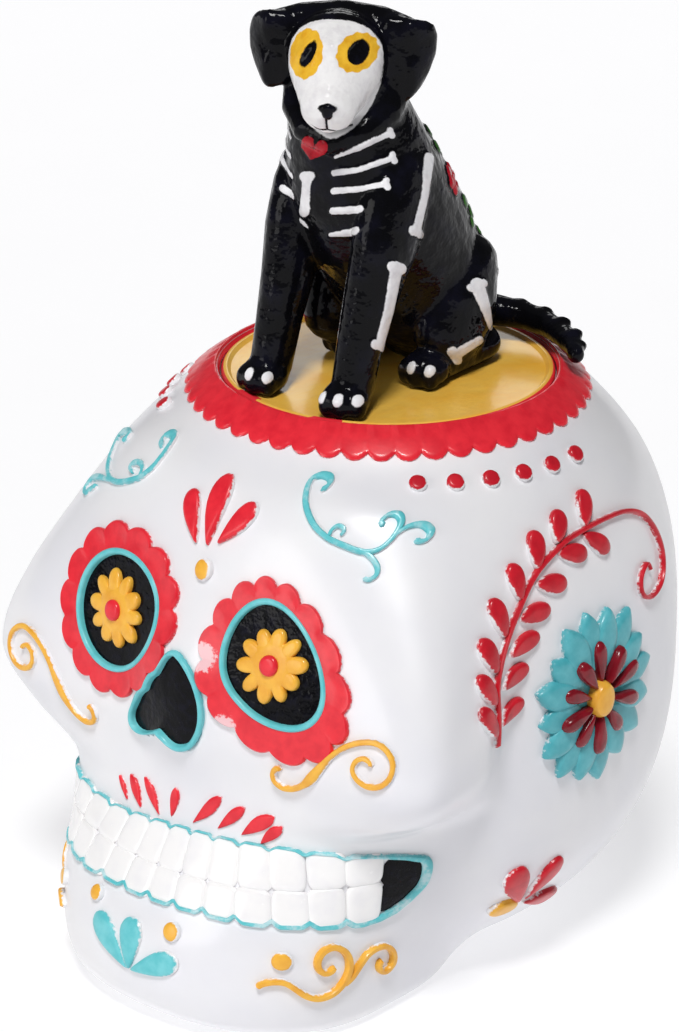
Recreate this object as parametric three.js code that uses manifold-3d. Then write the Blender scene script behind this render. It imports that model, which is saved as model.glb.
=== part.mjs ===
// A lidded jar in glazed ceramic: a painted sugar skull, with a seated dog on the lid that lifts off its top.
// Millimetres, +Z up. The origin is on the ground under the lid's axis. The skull faces -Y, its left is +X.
import * as THREE from "three";
import { mergeVertices } from "three/addons/utils/BufferGeometryUtils.js";
import Module from "manifold-3d";

const wasm = await Module();
wasm.setup();

// Jar: walls, mouth and lid seat
const WALL = 6; // thickness of the skull's wall and floor
const MOUTH_RADIUS = 44.5; // clear opening under the lid
const SEAT_RADIUS = 52.5; // rebate in the crown that holds the lid's plate
const SEAT_Z = 173.2; // height of the ledge that the plate rests on
const FIT_GAP = 1.2; // radial gap between the lid and what it drops into
const REST_GAP = 0.3; // gap under the plate, where the glaze keeps the two apart

// Lid
const PLATE_THICKNESS = 5.6;
const RIM_HEIGHT = 1.1; // raised round rim at the edge of the plate
const RIM_WIDTH = 3;
const RING_DEPTH = 9; // locating ring below the plate
const RING_WALL = 4;
const PLATE_RADIUS = SEAT_RADIUS - FIT_GAP;
const PLATE_BOTTOM_Z = SEAT_Z + REST_GAP;
const PLATE_TOP_Z = PLATE_BOTTOM_Z + PLATE_THICKNESS;

// Cranium: a rounded block, round in plan about the lid's axis at the crown
const CRANIUM = { y: -1.5, z: 94.3, halfWidth: 88.4, halfLength: 87.2, halfHeight: 97.6 };
const CRANIUM_SQUARENESS = { plan: 2.3, side: 2.5 };
const CROWN_BLEND = { inner: 62, outer: 82, fromZ: 120 }; // radii between which the crown turns round
const FACE_BLEND = 20; // size of the soft valley where the face meets the cranium
// Foot: a low pad inside the underside of the cranium, so that the jar stands level right to the back
const FOOT = { y: -22, z: -10, halfWidth: 46, halfLength: 62, halfHeight: 22 };
const FOOT_SQUARENESS = { plan: 2.3, side: 3 };
const FOOT_BLEND = 6;
const BASE_ROUNDING = 8; // rounding of the edge that stands on the ground
const BASE_GROUND_OFF = 0.8; // taken off the casting's underside, so that it stands on one level face

// Face and jaw, level by level: half width, reach in front of the axis, centre in front of it, reach behind
// that centre, and how square the front and the rear of the level are (2 is an ellipse)
const FACE_LEVELS = [
  { name: "under chin", z: -8, half: 50, front: 97, centre: 60, rear: 36, square: 2.3, squareRear: 3.7 },
  { name: "chin", z: 8, half: 55, front: 117, centre: 66, rear: 41, square: 2.3, squareRear: 3.7 },
  { name: "jaw", z: 30, half: 57, front: 117.5, centre: 68, rear: 43, square: 2.3, squareRear: 3.7 },
  { name: "teeth", z: 50, half: 57, front: 108, centre: 68, rear: 41, square: 2.3, squareRear: 3.7 },
  { name: "upper lip", z: 66, half: 60, front: 98, centre: 68, rear: 37, square: 2.5, squareRear: 3.2 },
  { name: "under cheek", z: 77, half: 79, front: 95, centre: 69, rear: 32, square: 3.2, squareRear: 2.6 },
  { name: "cheekbone", z: 92, half: 88.5, front: 95, centre: 69, rear: 30, square: 4.2, squareRear: 2.5 },
  { name: "eye", z: 116, half: 83.5, front: 90.5, centre: 64, rear: 30, square: 3.3, squareRear: 2.5 },
  { name: "brow", z: 138, half: 71, front: 82.5, centre: 53, rear: 30, square: 2.8, squareRear: 2.5 },
  { name: "forehead", z: 158, half: 54, front: 72, centre: 38, rear: 30, square: 2.6, squareRear: 2.5 },
  { name: "hairline", z: 182, half: 34, front: 56, centre: 22, rear: 30, square: 2.6, squareRear: 2.5 },
];
const FACE_TOP = { z: 170, blend: 14 };
const NOSE_BRIDGE = { z: 102, rise: 6, halfWidth: 24, halfHeight: 34 }; // soft swelling that carries the nose

// Meshing of the skull
const SKULL_CORE = new THREE.Vector3(0, -18, 85); // every point of the skin is seen from here
const SKULL_REACH = 190; // further from the core than any point of the skin
const SKULL_COLUMNS = 42;
const SKULL_ROWS = 25;
const CAVITY_COLUMNS = 20;
const CAVITY_ROWS = 12;
const TURNED_SIDES = 44; // sides of the lid, its seat and the mouth
const SHORTEST_EDGE = 0.6; // shorter ones, left by the cuts, are drawn together
const FRONT_CROWDING = 0.45; // how much closer the columns stand at the face

// Ornaments: heights proud of the skin, and how deep each is rooted
const RELIEF = 1.4;
const LOW_RELIEF = 1;
const ROOT = 2.5;

const CROWN_BAND = { inner: SEAT_RADIUS, outer: 62.4, tooth: 2, teeth: 44, lift: 1.2 };
const CROWN_DOTS = { radius: 70, size: 3, first: 44, step: 9.4 };
const EYE = {
  x: 31,
  z: 119,
  halfWidth: 17.5,
  up: 18.5,
  down: 17.5,
  taper: 0.2,
  lean: 0.24,
  ring: 2.4,
  frill: 9,
  lobes: 13,
  depth: 1.8,
};
const EYE_DAISY = { reach: 10.8, waist: 7.2, petals: 10, heart: 3.1 };
const NOSE = { x: -2.5, z: 101, halfWidth: 13.5, up: 15, down: 13.5, cleft: 5, ring: 2.2, depth: 3 };
const BROW_PETALS = { z: 147, length: 15, width: 6, lean: 34, lift: 3 };
const BROW_DOT = { z: 140, radius: 2.9 };
const MOUTH = { z: 50.2, halfHeight: 9.7, sag: 1.5, halfAngle: 76, corner: 88, teeth: 14, gap: 0.8 };
const CHIN_FLOWER = { z: 18, length: 15, width: 7.5, lean: 52 };
const CHIN_DOT = { radius: 2.4, places: [[-20.5, 35], [11.5, 34]], farX: 44, farZ: 30 };
const SIDE_FLOWER = { y: -4.5, z: 97, reach: 28.5, waist: 23, petals: 16, core: 17.5, corePetals: 10 };
const SIDE_FLOWER_HEART = { halfWidth: 4.2, halfHeight: 5.6 };
const LOW_PETALS = { y: -23, z: 29, bud: 4.2 };
const LEAF_REACH = 8; // of the branch's leaves to each side of the stem
const BRANCH_WIDTH = 1.8;
// The temple branch in side view: y and z of its stem, from its foot to its curl
const BRANCH = [
  [-48, 90], [-50.5, 100], [-51.5, 109], [-48.5, 117.5], [-42.5, 126], [-35, 133.5], [-26, 140], [-15.5, 145],
  [-4, 147.5], [11, 147.5], [24, 143], [32, 134], [31.5, 123], [25, 118], [20, 122], [23, 127],
];
const BRANCH_LEAVES = 8; // pairs of leaves from the foot up

// Dog: heights are above the plate, the dog faces -Y and turns its head to its left
const HEAD = { x: 0.5, y: -23.5, z: 105, turn: 30, tilt: 6 };
const PAW = { halfWidth: 7.6, halfLength: 9.5, halfHeight: 6 };
const FORE_PAW = { x: 16, y: -39.5 };
const HIND_PAW = { x: 18, y: { "-1": 3, 1: -4 } }; // the right one is tucked further back
const RIGHT_KNEE_AHEAD = 8; // how much further forward the dog's right knee stands than its left
const RIGHT_ELBOW_IN = 1.6; // how much closer to the chest the dog's right elbow is than its left

const GLAZE = {
  white: new THREE.MeshStandardMaterial({ color: 0xf1eff2, roughness: 0.22, metalness: 0 }),
  black: new THREE.MeshStandardMaterial({ color: 0x0c0c10, roughness: 0.12, metalness: 0 }),
};

const radians = THREE.MathUtils.degToRad;

// Soft minimum and maximum: the two surfaces meet in a fillet of about the size k
function softMin(a, b, k) {
  const overlap = Math.max(k - Math.abs(a - b), 0) / k;
  return Math.min(a, b) - (overlap * overlap * k) / 4;
}

function softMax(a, b, k) {
  return -softMin(-a, -b, k);
}

// A smooth curve through one measure of the face levels, read at the height z
function faceMeasure(key, z) {
  const levels = FACE_LEVELS;
  const last = levels.length - 1;
  const height = Math.min(Math.max(z, levels[0].z), levels[last].z - 1e-6);
  let i = 0;
  while (levels[i + 1].z <= height) i += 1;
  const slope = (k) => {
    const a = levels[Math.max(k - 1, 0)];
    const b = levels[Math.min(k + 1, last)];
    return (b[key] - a[key]) / (b.z - a.z);
  };
  const span = levels[i + 1].z - levels[i].z;
  const t = (height - levels[i].z) / span;
  const t2 = t * t;
  const t3 = t2 * t;
  return (
    (2 * t3 - 3 * t2 + 1) * levels[i][key] +
    (t3 - 2 * t2 + t) * span * slope(i) +
    (3 * t2 - 2 * t3) * levels[i + 1][key] +
    (t3 - t2) * span * slope(i + 1)
  );
}

// Distance to a rounded block along the line from its centre
function blockDistance(x, y, z, block, plan, side) {
  const u = Math.abs(x / block.halfWidth) ** plan;
  const v = Math.abs(y / block.halfLength) ** plan;
  const w = Math.abs(z / block.halfHeight) ** side;
  const scale = ((u + v) ** (side / plan) + w) ** (1 / side) + 1e-9;
  return Math.hypot(x, y, z) * (1 - 1 / scale);
}

function faceDistance(x, y, z) {
  const centre = -faceMeasure("centre", z);
  const along = y - centre;
  const squareness = faceMeasure(along < 0 ? "square" : "squareRear", z);
  const reach = along < 0 ? faceMeasure("front", z) + centre : faceMeasure("rear", z);
  const u = Math.abs(x / faceMeasure("half", z)) ** squareness;
  const v = Math.abs(along / reach) ** squareness;
  const scale = (u + v) ** (1 / squareness) + 1e-9;
  const side = Math.hypot(x, along) * (1 - 1 / scale);
  const off = Math.hypot(x / NOSE_BRIDGE.halfWidth, (z - NOSE_BRIDGE.z) / NOSE_BRIDGE.halfHeight);
  const bridge = along < 0 && off < 1 ? NOSE_BRIDGE.rise * (1 - off * off) ** 2 : 0;
  return softMax(side - bridge, z - FACE_TOP.z, FACE_TOP.blend);
}

// Signed distance to the skull's skin, negative inside
function skullDistance(x, y, z) {
  const { plan, side } = CRANIUM_SQUARENESS;
  const cranium = blockDistance(x, y - CRANIUM.y, z - CRANIUM.z, CRANIUM, plan, side);
  const foot = blockDistance(x, y - FOOT.y, z - FOOT.z, FOOT, FOOT_SQUARENESS.plan, FOOT_SQUARENESS.side);
  const standing = softMin(cranium, foot, FOOT_BLEND);
  const body = softMin(standing, faceDistance(x, y, z), FACE_BLEND);
  const round = { ...CRANIUM, halfLength: CRANIUM.halfWidth };
  const crown = blockDistance(x, y, z - CRANIUM.z, round, 2, side);
  const radius = Math.hypot(x, y);
  const near = 1 - THREE.MathUtils.smoothstep(radius, CROWN_BLEND.inner, CROWN_BLEND.outer);
  const share = near * THREE.MathUtils.smoothstep(z, CROWN_BLEND.fromZ, CROWN_BLEND.fromZ + 30);
  return softMax(THREE.MathUtils.lerp(body, crown, share), -z - BASE_GROUND_OFF, BASE_ROUNDING);
}

function skullNormal(point) {
  const h = 0.2;
  const { x, y, z } = point;
  return new THREE.Vector3(
    skullDistance(x + h, y, z) - skullDistance(x - h, y, z),
    skullDistance(x, y + h, z) - skullDistance(x, y - h, z),
    skullDistance(x, y, z + h) - skullDistance(x, y, z - h),
  ).normalize();
}

// The point between an inside and an outside distance on a ray where the skin, or a skin inset from it, lies
function crossing(start, direction, inside, outside, inset) {
  const at = (t) => start.clone().addScaledVector(direction, t);
  let near = inside;
  let far = outside;
  for (let i = 0; i < 30; i += 1) {
    const middle = (near + far) / 2;
    const p = at(middle);
    if (skullDistance(p.x, p.y, p.z) + inset < 0) near = middle;
    else far = middle;
  }
  return at((near + far) / 2);
}

// A closed geometry from rings of equal length, each ring a list of points, with a point at each end
function ringsGeometry(rings, first, last) {
  const count = rings[0].length;
  const points = [first, ...rings.flat(), last];
  const index = [];
  const at = (ring, i) => 1 + ring * count + (i % count);
  for (let i = 0; i < count; i += 1) {
    index.push(0, at(0, i), at(0, i + 1));
    for (let ring = 0; ring < rings.length - 1; ring += 1) {
      index.push(at(ring, i), at(ring + 1, i), at(ring, i + 1));
      index.push(at(ring, i + 1), at(ring + 1, i), at(ring + 1, i + 1));
    }
    index.push(at(rings.length - 1, i), points.length - 1, at(rings.length - 1, i + 1));
  }
  const geometry = new THREE.BufferGeometry().setFromPoints(points);
  geometry.setIndex(index);
  return geometry;
}

// A solid to join or cut with, turned face out if its faces point in
function solidOf(geometry) {
  const bare = geometry.clone();
  bare.deleteAttribute("normal");
  bare.deleteAttribute("uv");
  const merged = mergeVertices(bare, 1e-4);
  const build = (flip) => {
    const triVerts = new Uint32Array(merged.index.array);
    for (let i = 0; flip && i < triVerts.length; i += 3) {
      [triVerts[i + 1], triVerts[i + 2]] = [triVerts[i + 2], triVerts[i + 1]];
    }
    const vertProperties = new Float32Array(merged.attributes.position.array);
    return new wasm.Manifold(new wasm.Mesh({ numProp: 3, vertProperties, triVerts }));
  };
  const solid = build(false);
  return solid.volume() < 0 ? build(true) : solid;
}

function joined(solids) {
  return solids.reduce((whole, piece) => whole.add(piece));
}

// The skull's skin, or its cavity when inset, as one closed star of columns and rows round the core
function skullSkin(columns, rows, inset) {
  const rings = [];
  for (let row = 1; row < rows; row += 1) {
    const polar = (Math.PI * row) / rows;
    const ring = [];
    for (let column = 0; column < columns; column += 1) {
      const even = (2 * Math.PI * column) / columns - Math.PI;
      const turn = even - FRONT_CROWDING * Math.sin(even);
      const direction = new THREE.Vector3(
        Math.sin(polar) * Math.sin(turn),
        -Math.sin(polar) * Math.cos(turn),
        Math.cos(polar),
      );
      ring.push(crossing(SKULL_CORE, direction, 0, SKULL_REACH, inset));
    }
    rings.push(ring);
  }
  const up = new THREE.Vector3(0, 0, 1);
  const top = crossing(SKULL_CORE, up, 0, SKULL_REACH, inset);
  const bottom = crossing(SKULL_CORE, up.clone().negate(), 0, SKULL_REACH, inset);
  return solidOf(ringsGeometry(rings, top, bottom));
}

// A solid of revolution about the lid's axis from a closed profile of radius and height
function turned(profile, segments) {
  const points = [...profile, profile[0]].map(([r, z]) => new THREE.Vector2(r, z));
  const geometry = new THREE.LatheGeometry(points, segments);
  geometry.rotateX(Math.PI / 2);
  return solidOf(geometry);
}

// Views in which ornaments are laid out flat and then carried on to the skin
const FRONT = { out: new THREE.Vector3(0, -1, 0), across: new THREE.Vector3(1, 0, 0) };
const LEFT = { out: new THREE.Vector3(1, 0, 0), across: new THREE.Vector3(0, 1, 0) };
const RIGHT = { out: new THREE.Vector3(-1, 0, 0), across: new THREE.Vector3(0, 1, 0) };
const UP = new THREE.Vector3(0, 0, 1);
const START_OUT = 150;

// The skin's point seen at u across and v up in a view, raised along the skin's normal
function onSkull(view, u, v, lift) {
  const flat = view.across.clone().multiplyScalar(u).addScaledVector(UP, v);
  const start = flat.addScaledVector(view.out, START_OUT);
  const inward = view.out.clone().negate();
  const p = start.clone();
  let depth = 0;
  while (skullDistance(p.x, p.y, p.z) > 0 && depth < 2 * START_OUT) {
    depth += 1;
    p.copy(start).addScaledVector(inward, depth);
  }
  const skin = crossing(start, inward, depth, depth - 1, 0);
  return skin.addScaledVector(skullNormal(skin), lift);
}

// The skin's point on the crown at a radius and a turn from the front towards the skull's left
function onCrown(radius, turn, lift) {
  const start = new THREE.Vector3(radius * Math.sin(turn), -radius * Math.cos(turn), CRANIUM.z);
  const skin = crossing(start, UP, 0, 2 * CRANIUM.halfHeight, 0);
  return skin.addScaledVector(skullNormal(skin), lift);
}

// A raised pad whose outline, a list of [u, v], is carried on to the skin, with a crowned middle
function pad(place, outline, lift, crown = 0) {
  const middle = outline.reduce(([a, b], [u, v]) => [a + u / outline.length, b + v / outline.length], [0, 0]);
  const ring = (height) => outline.map(([u, v]) => place(u, v, height));
  return solidOf(
    ringsGeometry([ring(-ROOT), ring(lift)], place(...middle, -ROOT), place(...middle, lift + crown)),
  );
}

const inView = (view) => (u, v, lift) => onSkull(view, u, v, lift);

// A closed loop of section, swept round: each list holds one corner of the section at every station
function tubeGeometry(lines) {
  const stations = lines[0].length - 1;
  const points = lines.flatMap((line) => line.slice(0, stations));
  const index = [];
  for (let k = 0; k < lines.length; k += 1) {
    const next = (k + 1) % lines.length;
    for (let i = 0; i < stations; i += 1) {
      const j = (i + 1) % stations;
      index.push(k * stations + i, next * stations + i, k * stations + j);
      index.push(k * stations + j, next * stations + i, next * stations + j);
    }
  }
  const geometry = new THREE.BufferGeometry().setFromPoints(points);
  geometry.setIndex(index);
  return geometry;
}

// An outline moved outwards from its middle by a width
function grow(outline, width) {
  const n = outline.length;
  return outline.map(([u, v], i) => {
    const [pu, pv] = outline[(i + n - 1) % n];
    const [nu, nv] = outline[(i + 1) % n];
    const length = Math.hypot(nu - pu, nv - pv);
    return [u + (width * (nv - pv)) / length, v - (width * (nu - pu)) / length];
  });
}

// Outlines, all counter-clockwise
function oval(u, v, a, b, count) {
  return Array.from({ length: count }, (_, i) => {
    const t = (2 * Math.PI * i) / count;
    return [u + a * Math.cos(t), v + b * Math.sin(t)];
  });
}

// A petal or leaf with its foot at [u, v], pointing at an angle from straight up, clockwise
function petal(u, v, angle, length, width, count = 6) {
  const a = radians(angle);
  return Array.from({ length: count }, (_, i) => {
    const t = (2 * Math.PI * i) / count;
    const along = (length * (1 - Math.cos(t))) / 2;
    const aside = (-width / 2) * Math.sin(t) * (0.62 + (0.5 * along) / length);
    return [u + aside * Math.cos(a) + along * Math.sin(a), v - aside * Math.sin(a) + along * Math.cos(a)];
  });
}

// A flower outline: petals as waves between an inner and an outer radius
function daisy(u, v, reach, waist, petals) {
  return Array.from({ length: petals * 2 }, (_, i) => {
    const t = (Math.PI * i) / petals;
    const r = i % 2 ? waist : reach;
    return [u + r * Math.cos(t), v + r * Math.sin(t)];
  });
}

// The egg of an eye socket, narrower and leaning in at its top
function eyeEgg(side, margin, count) {
  const { x, z, halfWidth, up, down, taper, lean } = EYE;
  const outline = Array.from({ length: count }, (_, i) => {
    const t = (2 * Math.PI * i) / count;
    const s = Math.sin(t);
    const v = (s > 0 ? up : down) * s + margin * s;
    const u = (halfWidth + margin) * Math.cos(t) * (1 - taper * s) - lean * v;
    return [side * (x + u), z + v];
  });
  return side > 0 ? outline : outline.reverse();
}

// The frill round an eye: an egg with round lobes
function eyeFrill(side) {
  const { x, z, halfWidth, up, down, taper, lean, frill, lobes } = EYE;
  const outline = Array.from({ length: lobes * 2 }, (_, i) => {
    const t = (Math.PI * i) / lobes;
    const s = Math.sin(t);
    const margin = i % 2 ? frill - 3 : frill;
    const v = (s > 0 ? up : down) * s + margin * s;
    const u = (halfWidth + margin) * Math.cos(t) * (1 - 0.5 * taper * s) - lean * v;
    return [side * (x + u), z + v];
  });
  return side > 0 ? outline : outline.reverse();
}

// A pocket in the skin with straight walls along the skin's normals
function pocket(place, outline, middle, depth) {
  const ring = (height) => outline.map(([u, v]) => place(u, v, height));
  const above = 3 * RELIEF;
  const rings = [ring(-depth), ring(above)];
  return solidOf(ringsGeometry(rings, place(...middle, -depth), place(...middle, above)));
}

function addEye(skull, side) {
  const place = inView(FRONT);
  const socket = eyeEgg(side, 0, 16);
  const middle = [side * EYE.x, EYE.z];
  const frill = pad(place, eyeFrill(side), RELIEF);
  const lip = pad(place, eyeEgg(side, EYE.ring, 16), RELIEF + 0.6);
  const flower = pad(place, daisy(...middle, EYE_DAISY.reach, EYE_DAISY.waist, EYE_DAISY.petals), 0.2);
  const heart = pad(place, oval(...middle, EYE_DAISY.heart, EYE_DAISY.heart, 6), LOW_RELIEF, 0.4);
  return skull.add(frill).add(lip).subtract(pocket(place, socket, middle, EYE.depth)).add(flower).add(heart);
}

// The nose: an upside-down heart, its point up
function noseHeart(margin, count) {
  const { z, halfWidth, up, down, cleft } = NOSE;
  return Array.from({ length: count }, (_, i) => {
    const t = (2 * Math.PI * i) / count + Math.PI / 2;
    const s = Math.sin(t);
    const c = Math.cos(t);
    const lobe = s < 0 ? (down + margin) * s + cleft * (1 - Math.abs(c)) ** 2 * 1.6 : (up + margin) * s;
    const width = (halfWidth + margin) * c * (s > 0 ? (1 - s) ** 0.35 : 1);
    return [NOSE.x + width, z + lobe];
  });
}

function addNose(skull) {
  const place = inView(FRONT);
  const lip = pad(place, noseHeart(NOSE.ring, 14), RELIEF);
  return skull.add(lip).subtract(pocket(place, noseHeart(0, 14), [NOSE.x, NOSE.z], NOSE.depth));
}

// Points of the mouth: a turn round the jaw's axis and a height, carried on to the skin
function onJaw(turn, v, lift) {
  const axis = -60;
  const direction = new THREE.Vector3(Math.sin(turn), -Math.cos(turn), 0);
  const start = new THREE.Vector3(0, axis, v);
  const skin = crossing(start, direction, 0, 120, 0);
  return skin.addScaledVector(skullNormal(skin), lift);
}

function toothRow(top) {
  const { z, halfHeight, sag, halfAngle, teeth, gap } = MOUTH;
  const pads = [];
  for (let i = 0; i < teeth; i += 1) {
    const from = radians(-halfAngle + (2 * halfAngle * i) / teeth);
    const to = radians(-halfAngle + (2 * halfAngle * (i + 1)) / teeth);
    const trim = radians(gap / 2);
    const line = (turn) => z + sag * (1 - Math.cos(turn));
    const edge = (turn) => line(turn) + (top ? halfHeight : -halfHeight);
    const seam = (turn) => line(turn) + (top ? gap / 4 : -gap / 4);
    const outline = [
      [from + trim, seam(from)],
      [to - trim, seam(to)],
      [to - trim, edge(to)],
      [from + trim, edge(from)],
    ];
    pads.push(pad(onJaw, top ? outline : outline.reverse(), RELIEF, 0.5));
  }
  return pads;
}

// The dark corner of the mouth, past the last teeth
function mouthCorner(side) {
  const { z, halfHeight, sag, halfAngle, corner } = MOUTH;
  const from = radians(halfAngle + 1.5);
  const to = radians(corner);
  const line = z + sag;
  const outline = [
    [side * from, line - halfHeight + 1.5],
    [side * to, line + halfHeight - 3],
    [side * (to - 0.03), line + halfHeight - 1],
    [side * from, line + halfHeight - 1],
  ];
  return pocket(onJaw, outline, [(side * (from + to)) / 2, line + halfHeight / 3], 2.4);
}

function crownBand() {
  const { inner, outer, tooth, teeth, lift: top } = CROWN_BAND;
  const stations = teeth * 2;
  const line = (radiusAt, lift) =>
    Array.from({ length: stations + 1 }, (_, i) => {
      const turn = (2 * Math.PI * i) / stations;
      return onCrown(radiusAt(i), turn, lift);
    });
  const edge = (i) => (i % 2 ? outer : outer - tooth);
  const hidden = () => inner - 1;
  return solidOf(
    tubeGeometry([line(hidden, -ROOT), line(edge, -ROOT), line(edge, top), line(hidden, top)]),
  );
}

function crownDots() {
  const { radius, size, first, step } = CROWN_DOTS;
  const dots = [];
  for (let turn = first; turn <= 360 - first + 1e-6; turn += step) {
    const at = radians(turn);
    const place = (u, v, lift) => onCrown(radius + v, at + u / radius, lift);
    dots.push(pad(place, oval(0, 0, size, size, 5), LOW_RELIEF, 0.5));
  }
  return dots;
}

function browOrnament() {
  const place = inView(FRONT);
  const { z, length, width, lean, lift } = BROW_PETALS;
  return [
    pad(place, petal(0, z, 0, length + lift, width), RELIEF),
    pad(place, petal(2, z, lean, length, width), RELIEF),
    pad(place, petal(-2, z, -lean, length, width), RELIEF),
    pad(place, oval(0, BROW_DOT.z, BROW_DOT.radius, BROW_DOT.radius, 6), RELIEF),
  ];
}

function chinOrnament() {
  const place = inView(FRONT);
  const { z, length, width, lean } = CHIN_FLOWER;
  const { radius, places, farX, farZ } = CHIN_DOT;
  const dots = [...places, [farX, farZ], [-farX, farZ]];
  return [
    ...[0, lean, -lean].map((angle) => pad(place, petal(0, z, angle, length, width), LOW_RELIEF)),
    ...dots.map(([u, v]) => pad(place, oval(u, v, radius, radius, 5), LOW_RELIEF)),
  ];
}

// A flat stem along a line of points, even in width, with a pair of leaf tips after each of the first points
function branch(place, line, width, leaves, reach, lift) {
  const pairs = [];
  line.forEach(([u, v], i) => {
    const [pu, pv] = line[Math.max(i - 1, 0)];
    const [nu, nv] = line[Math.min(i + 1, line.length - 1)];
    const length = Math.hypot(nu - pu, nv - pv);
    const aside = [(nv - pv) / length, -(nu - pu) / length];
    const pair = (half, forward) =>
      [-1, 1].map((side) => [
        u + side * half * aside[0] - forward * aside[1],
        v + side * half * aside[1] + forward * aside[0],
      ]);
    pairs.push(pair(width / 2, 0));
    if (i < leaves) pairs.push(pair(reach, 0.8 * Math.hypot(nu - u, nv - v)));
  });
  const rings = pairs.map(([left, right]) => [
    place(...left, -ROOT),
    place(...right, -ROOT),
    place(...right, lift),
    place(...left, lift),
  ]);
  const foot = place(...line[0], (lift - ROOT) / 2);
  const tip = place(...line[line.length - 1], (lift - ROOT) / 2);
  return solidOf(ringsGeometry(rings, foot, tip));
}

function templeOrnament(view) {
  const place = inView(view);
  const pieces = [branch(place, BRANCH, BRANCH_WIDTH, BRANCH_LEAVES, LEAF_REACH, LOW_RELIEF)];
  const { y, z, reach, waist, petals, core, corePetals } = SIDE_FLOWER;
  const { halfWidth, halfHeight } = SIDE_FLOWER_HEART;
  pieces.push(pad(place, daisy(y, z, reach, waist, petals), LOW_RELIEF, 1));
  pieces.push(pad(place, daisy(y, z, core, core * 0.55, corePetals), RELIEF + 0.8, 0.8));
  pieces.push(pad(place, oval(y, z, halfWidth, halfHeight, 8), RELIEF + 2));
  const low = LOW_PETALS;
  pieces.push(pad(place, petal(low.y, low.z, 5, 14, 9, 5), RELIEF));
  pieces.push(pad(place, petal(low.y + 1, low.z, 48, 19, 8, 5), RELIEF));
  pieces.push(pad(place, petal(low.y + 2, low.z - 1, 82, 15, 7, 5), RELIEF));
  pieces.push(pad(place, oval(low.y - 4.5, low.z - 3, low.bud, low.bud * 0.7, 6), RELIEF));
  return pieces;
}

function makeJar() {
  const skin = skullSkin(SKULL_COLUMNS, SKULL_ROWS, 0).trimByPlane([0, 0, 1], 0);
  const ornaments = joined([
    crownBand(),
    ...crownDots(),
    ...browOrnament(),
    ...chinOrnament(),
    ...toothRow(true),
    ...toothRow(false),
    ...templeOrnament(LEFT),
    ...templeOrnament(RIGHT),
  ]);
  let skull = skin.add(ornaments);
  skull = addNose(skull);
  skull = addEye(skull, 1);
  skull = addEye(skull, -1);
  skull = skull.subtract(mouthCorner(1)).subtract(mouthCorner(-1));
  const cavity = skullSkin(CAVITY_COLUMNS, CAVITY_ROWS, WALL);
  const above = SEAT_Z + 40;
  const mouth = turned(
    [
      [0, SEAT_Z - 3 * WALL],
      [MOUTH_RADIUS, SEAT_Z - 3 * WALL],
      [MOUTH_RADIUS, SEAT_Z],
      [SEAT_RADIUS, SEAT_Z],
      [SEAT_RADIUS, above],
      [0, above],
    ],
    TURNED_SIDES,
  );
  // Under the ledge the cavity is held back, so that the seat keeps its full thickness
  const shoulder = turned([[0, SEAT_Z - WALL], [120, SEAT_Z - WALL], [120, above], [0, above]], 32);
  return skull.subtract(cavity.subtract(shoulder)).subtract(mouth);
}

function makePlate() {
  const top = PLATE_TOP_Z;
  const bottom = PLATE_BOTTOM_Z;
  const ringOut = MOUTH_RADIUS - FIT_GAP;
  const ringIn = ringOut - RING_WALL;
  const rim = PLATE_RADIUS;
  return turned(
    [
      [0, bottom],
      [ringIn, bottom],
      [ringIn, bottom - RING_DEPTH],
      [ringOut, bottom - RING_DEPTH],
      [ringOut, bottom],
      [rim, bottom],
      [rim, top],
      [rim - RIM_WIDTH / 2, top + RIM_HEIGHT],
      [rim - RIM_WIDTH, top],
      [0, top],
    ],
    TURNED_SIDES,
  );
}

// A rounded limb through stations of x, y, height, half width and half depth, with round ends
function limb(stations, sides = 10, across = new THREE.Vector3(1, 0, 0)) {
  const points = stations.map(([x, y, z]) => new THREE.Vector3(x, y, PLATE_TOP_Z + z));
  const frames = points.map((_, i) => {
    const before = points[Math.max(i - 1, 0)];
    const after = points[Math.min(i + 1, points.length - 1)];
    const along = after.clone().sub(before).normalize();
    const side = across.clone().addScaledVector(along, -across.dot(along)).normalize();
    return { along, side, deep: along.clone().cross(side) };
  });
  const ringAt = (i, scale, shift) => {
    const { along, side, deep } = frames[i];
    const [, , , width, depth] = stations[i];
    const centre = points[i].clone().addScaledVector(along, shift);
    return Array.from({ length: sides }, (_, k) => {
      const t = (2 * Math.PI * k) / sides;
      return centre
        .clone()
        .addScaledVector(side, scale * width * Math.cos(t))
        .addScaledVector(deep, scale * depth * Math.sin(t));
    });
  };
  const last = stations.length - 1;
  const capFirst = Math.min(stations[0][3], stations[0][4]);
  const capLast = Math.min(stations[last][3], stations[last][4]);
  const rings = [
    ringAt(0, 0.7, -0.7 * capFirst),
    ...stations.map((_, i) => ringAt(i, 1, 0)),
    ringAt(last, 0.7, 0.7 * capLast),
  ];
  const first = points[0].clone().addScaledVector(frames[0].along, -capFirst);
  const end = points[last].clone().addScaledVector(frames[last].along, capLast);
  return solidOf(ringsGeometry(rings, first, end));
}

function paw(x, y) {
  const { halfWidth, halfLength, halfHeight } = PAW;
  const geometry = new THREE.SphereGeometry(1, 10, 7);
  geometry.rotateX(Math.PI / 2);
  geometry.scale(halfWidth, halfLength, halfHeight);
  geometry.translate(x, y, PLATE_TOP_Z + halfHeight - 1);
  return solidOf(geometry);
}

// Head parts are laid out facing -Y about the head's centre, then tilted and turned
function headFrame() {
  const frame = new THREE.Matrix4().makeTranslation(HEAD.x, HEAD.y, HEAD.z);
  frame.multiply(new THREE.Matrix4().makeRotationZ(radians(HEAD.turn)));
  frame.multiply(new THREE.Matrix4().makeRotationX(radians(-HEAD.tilt)));
  return frame;
}

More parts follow.
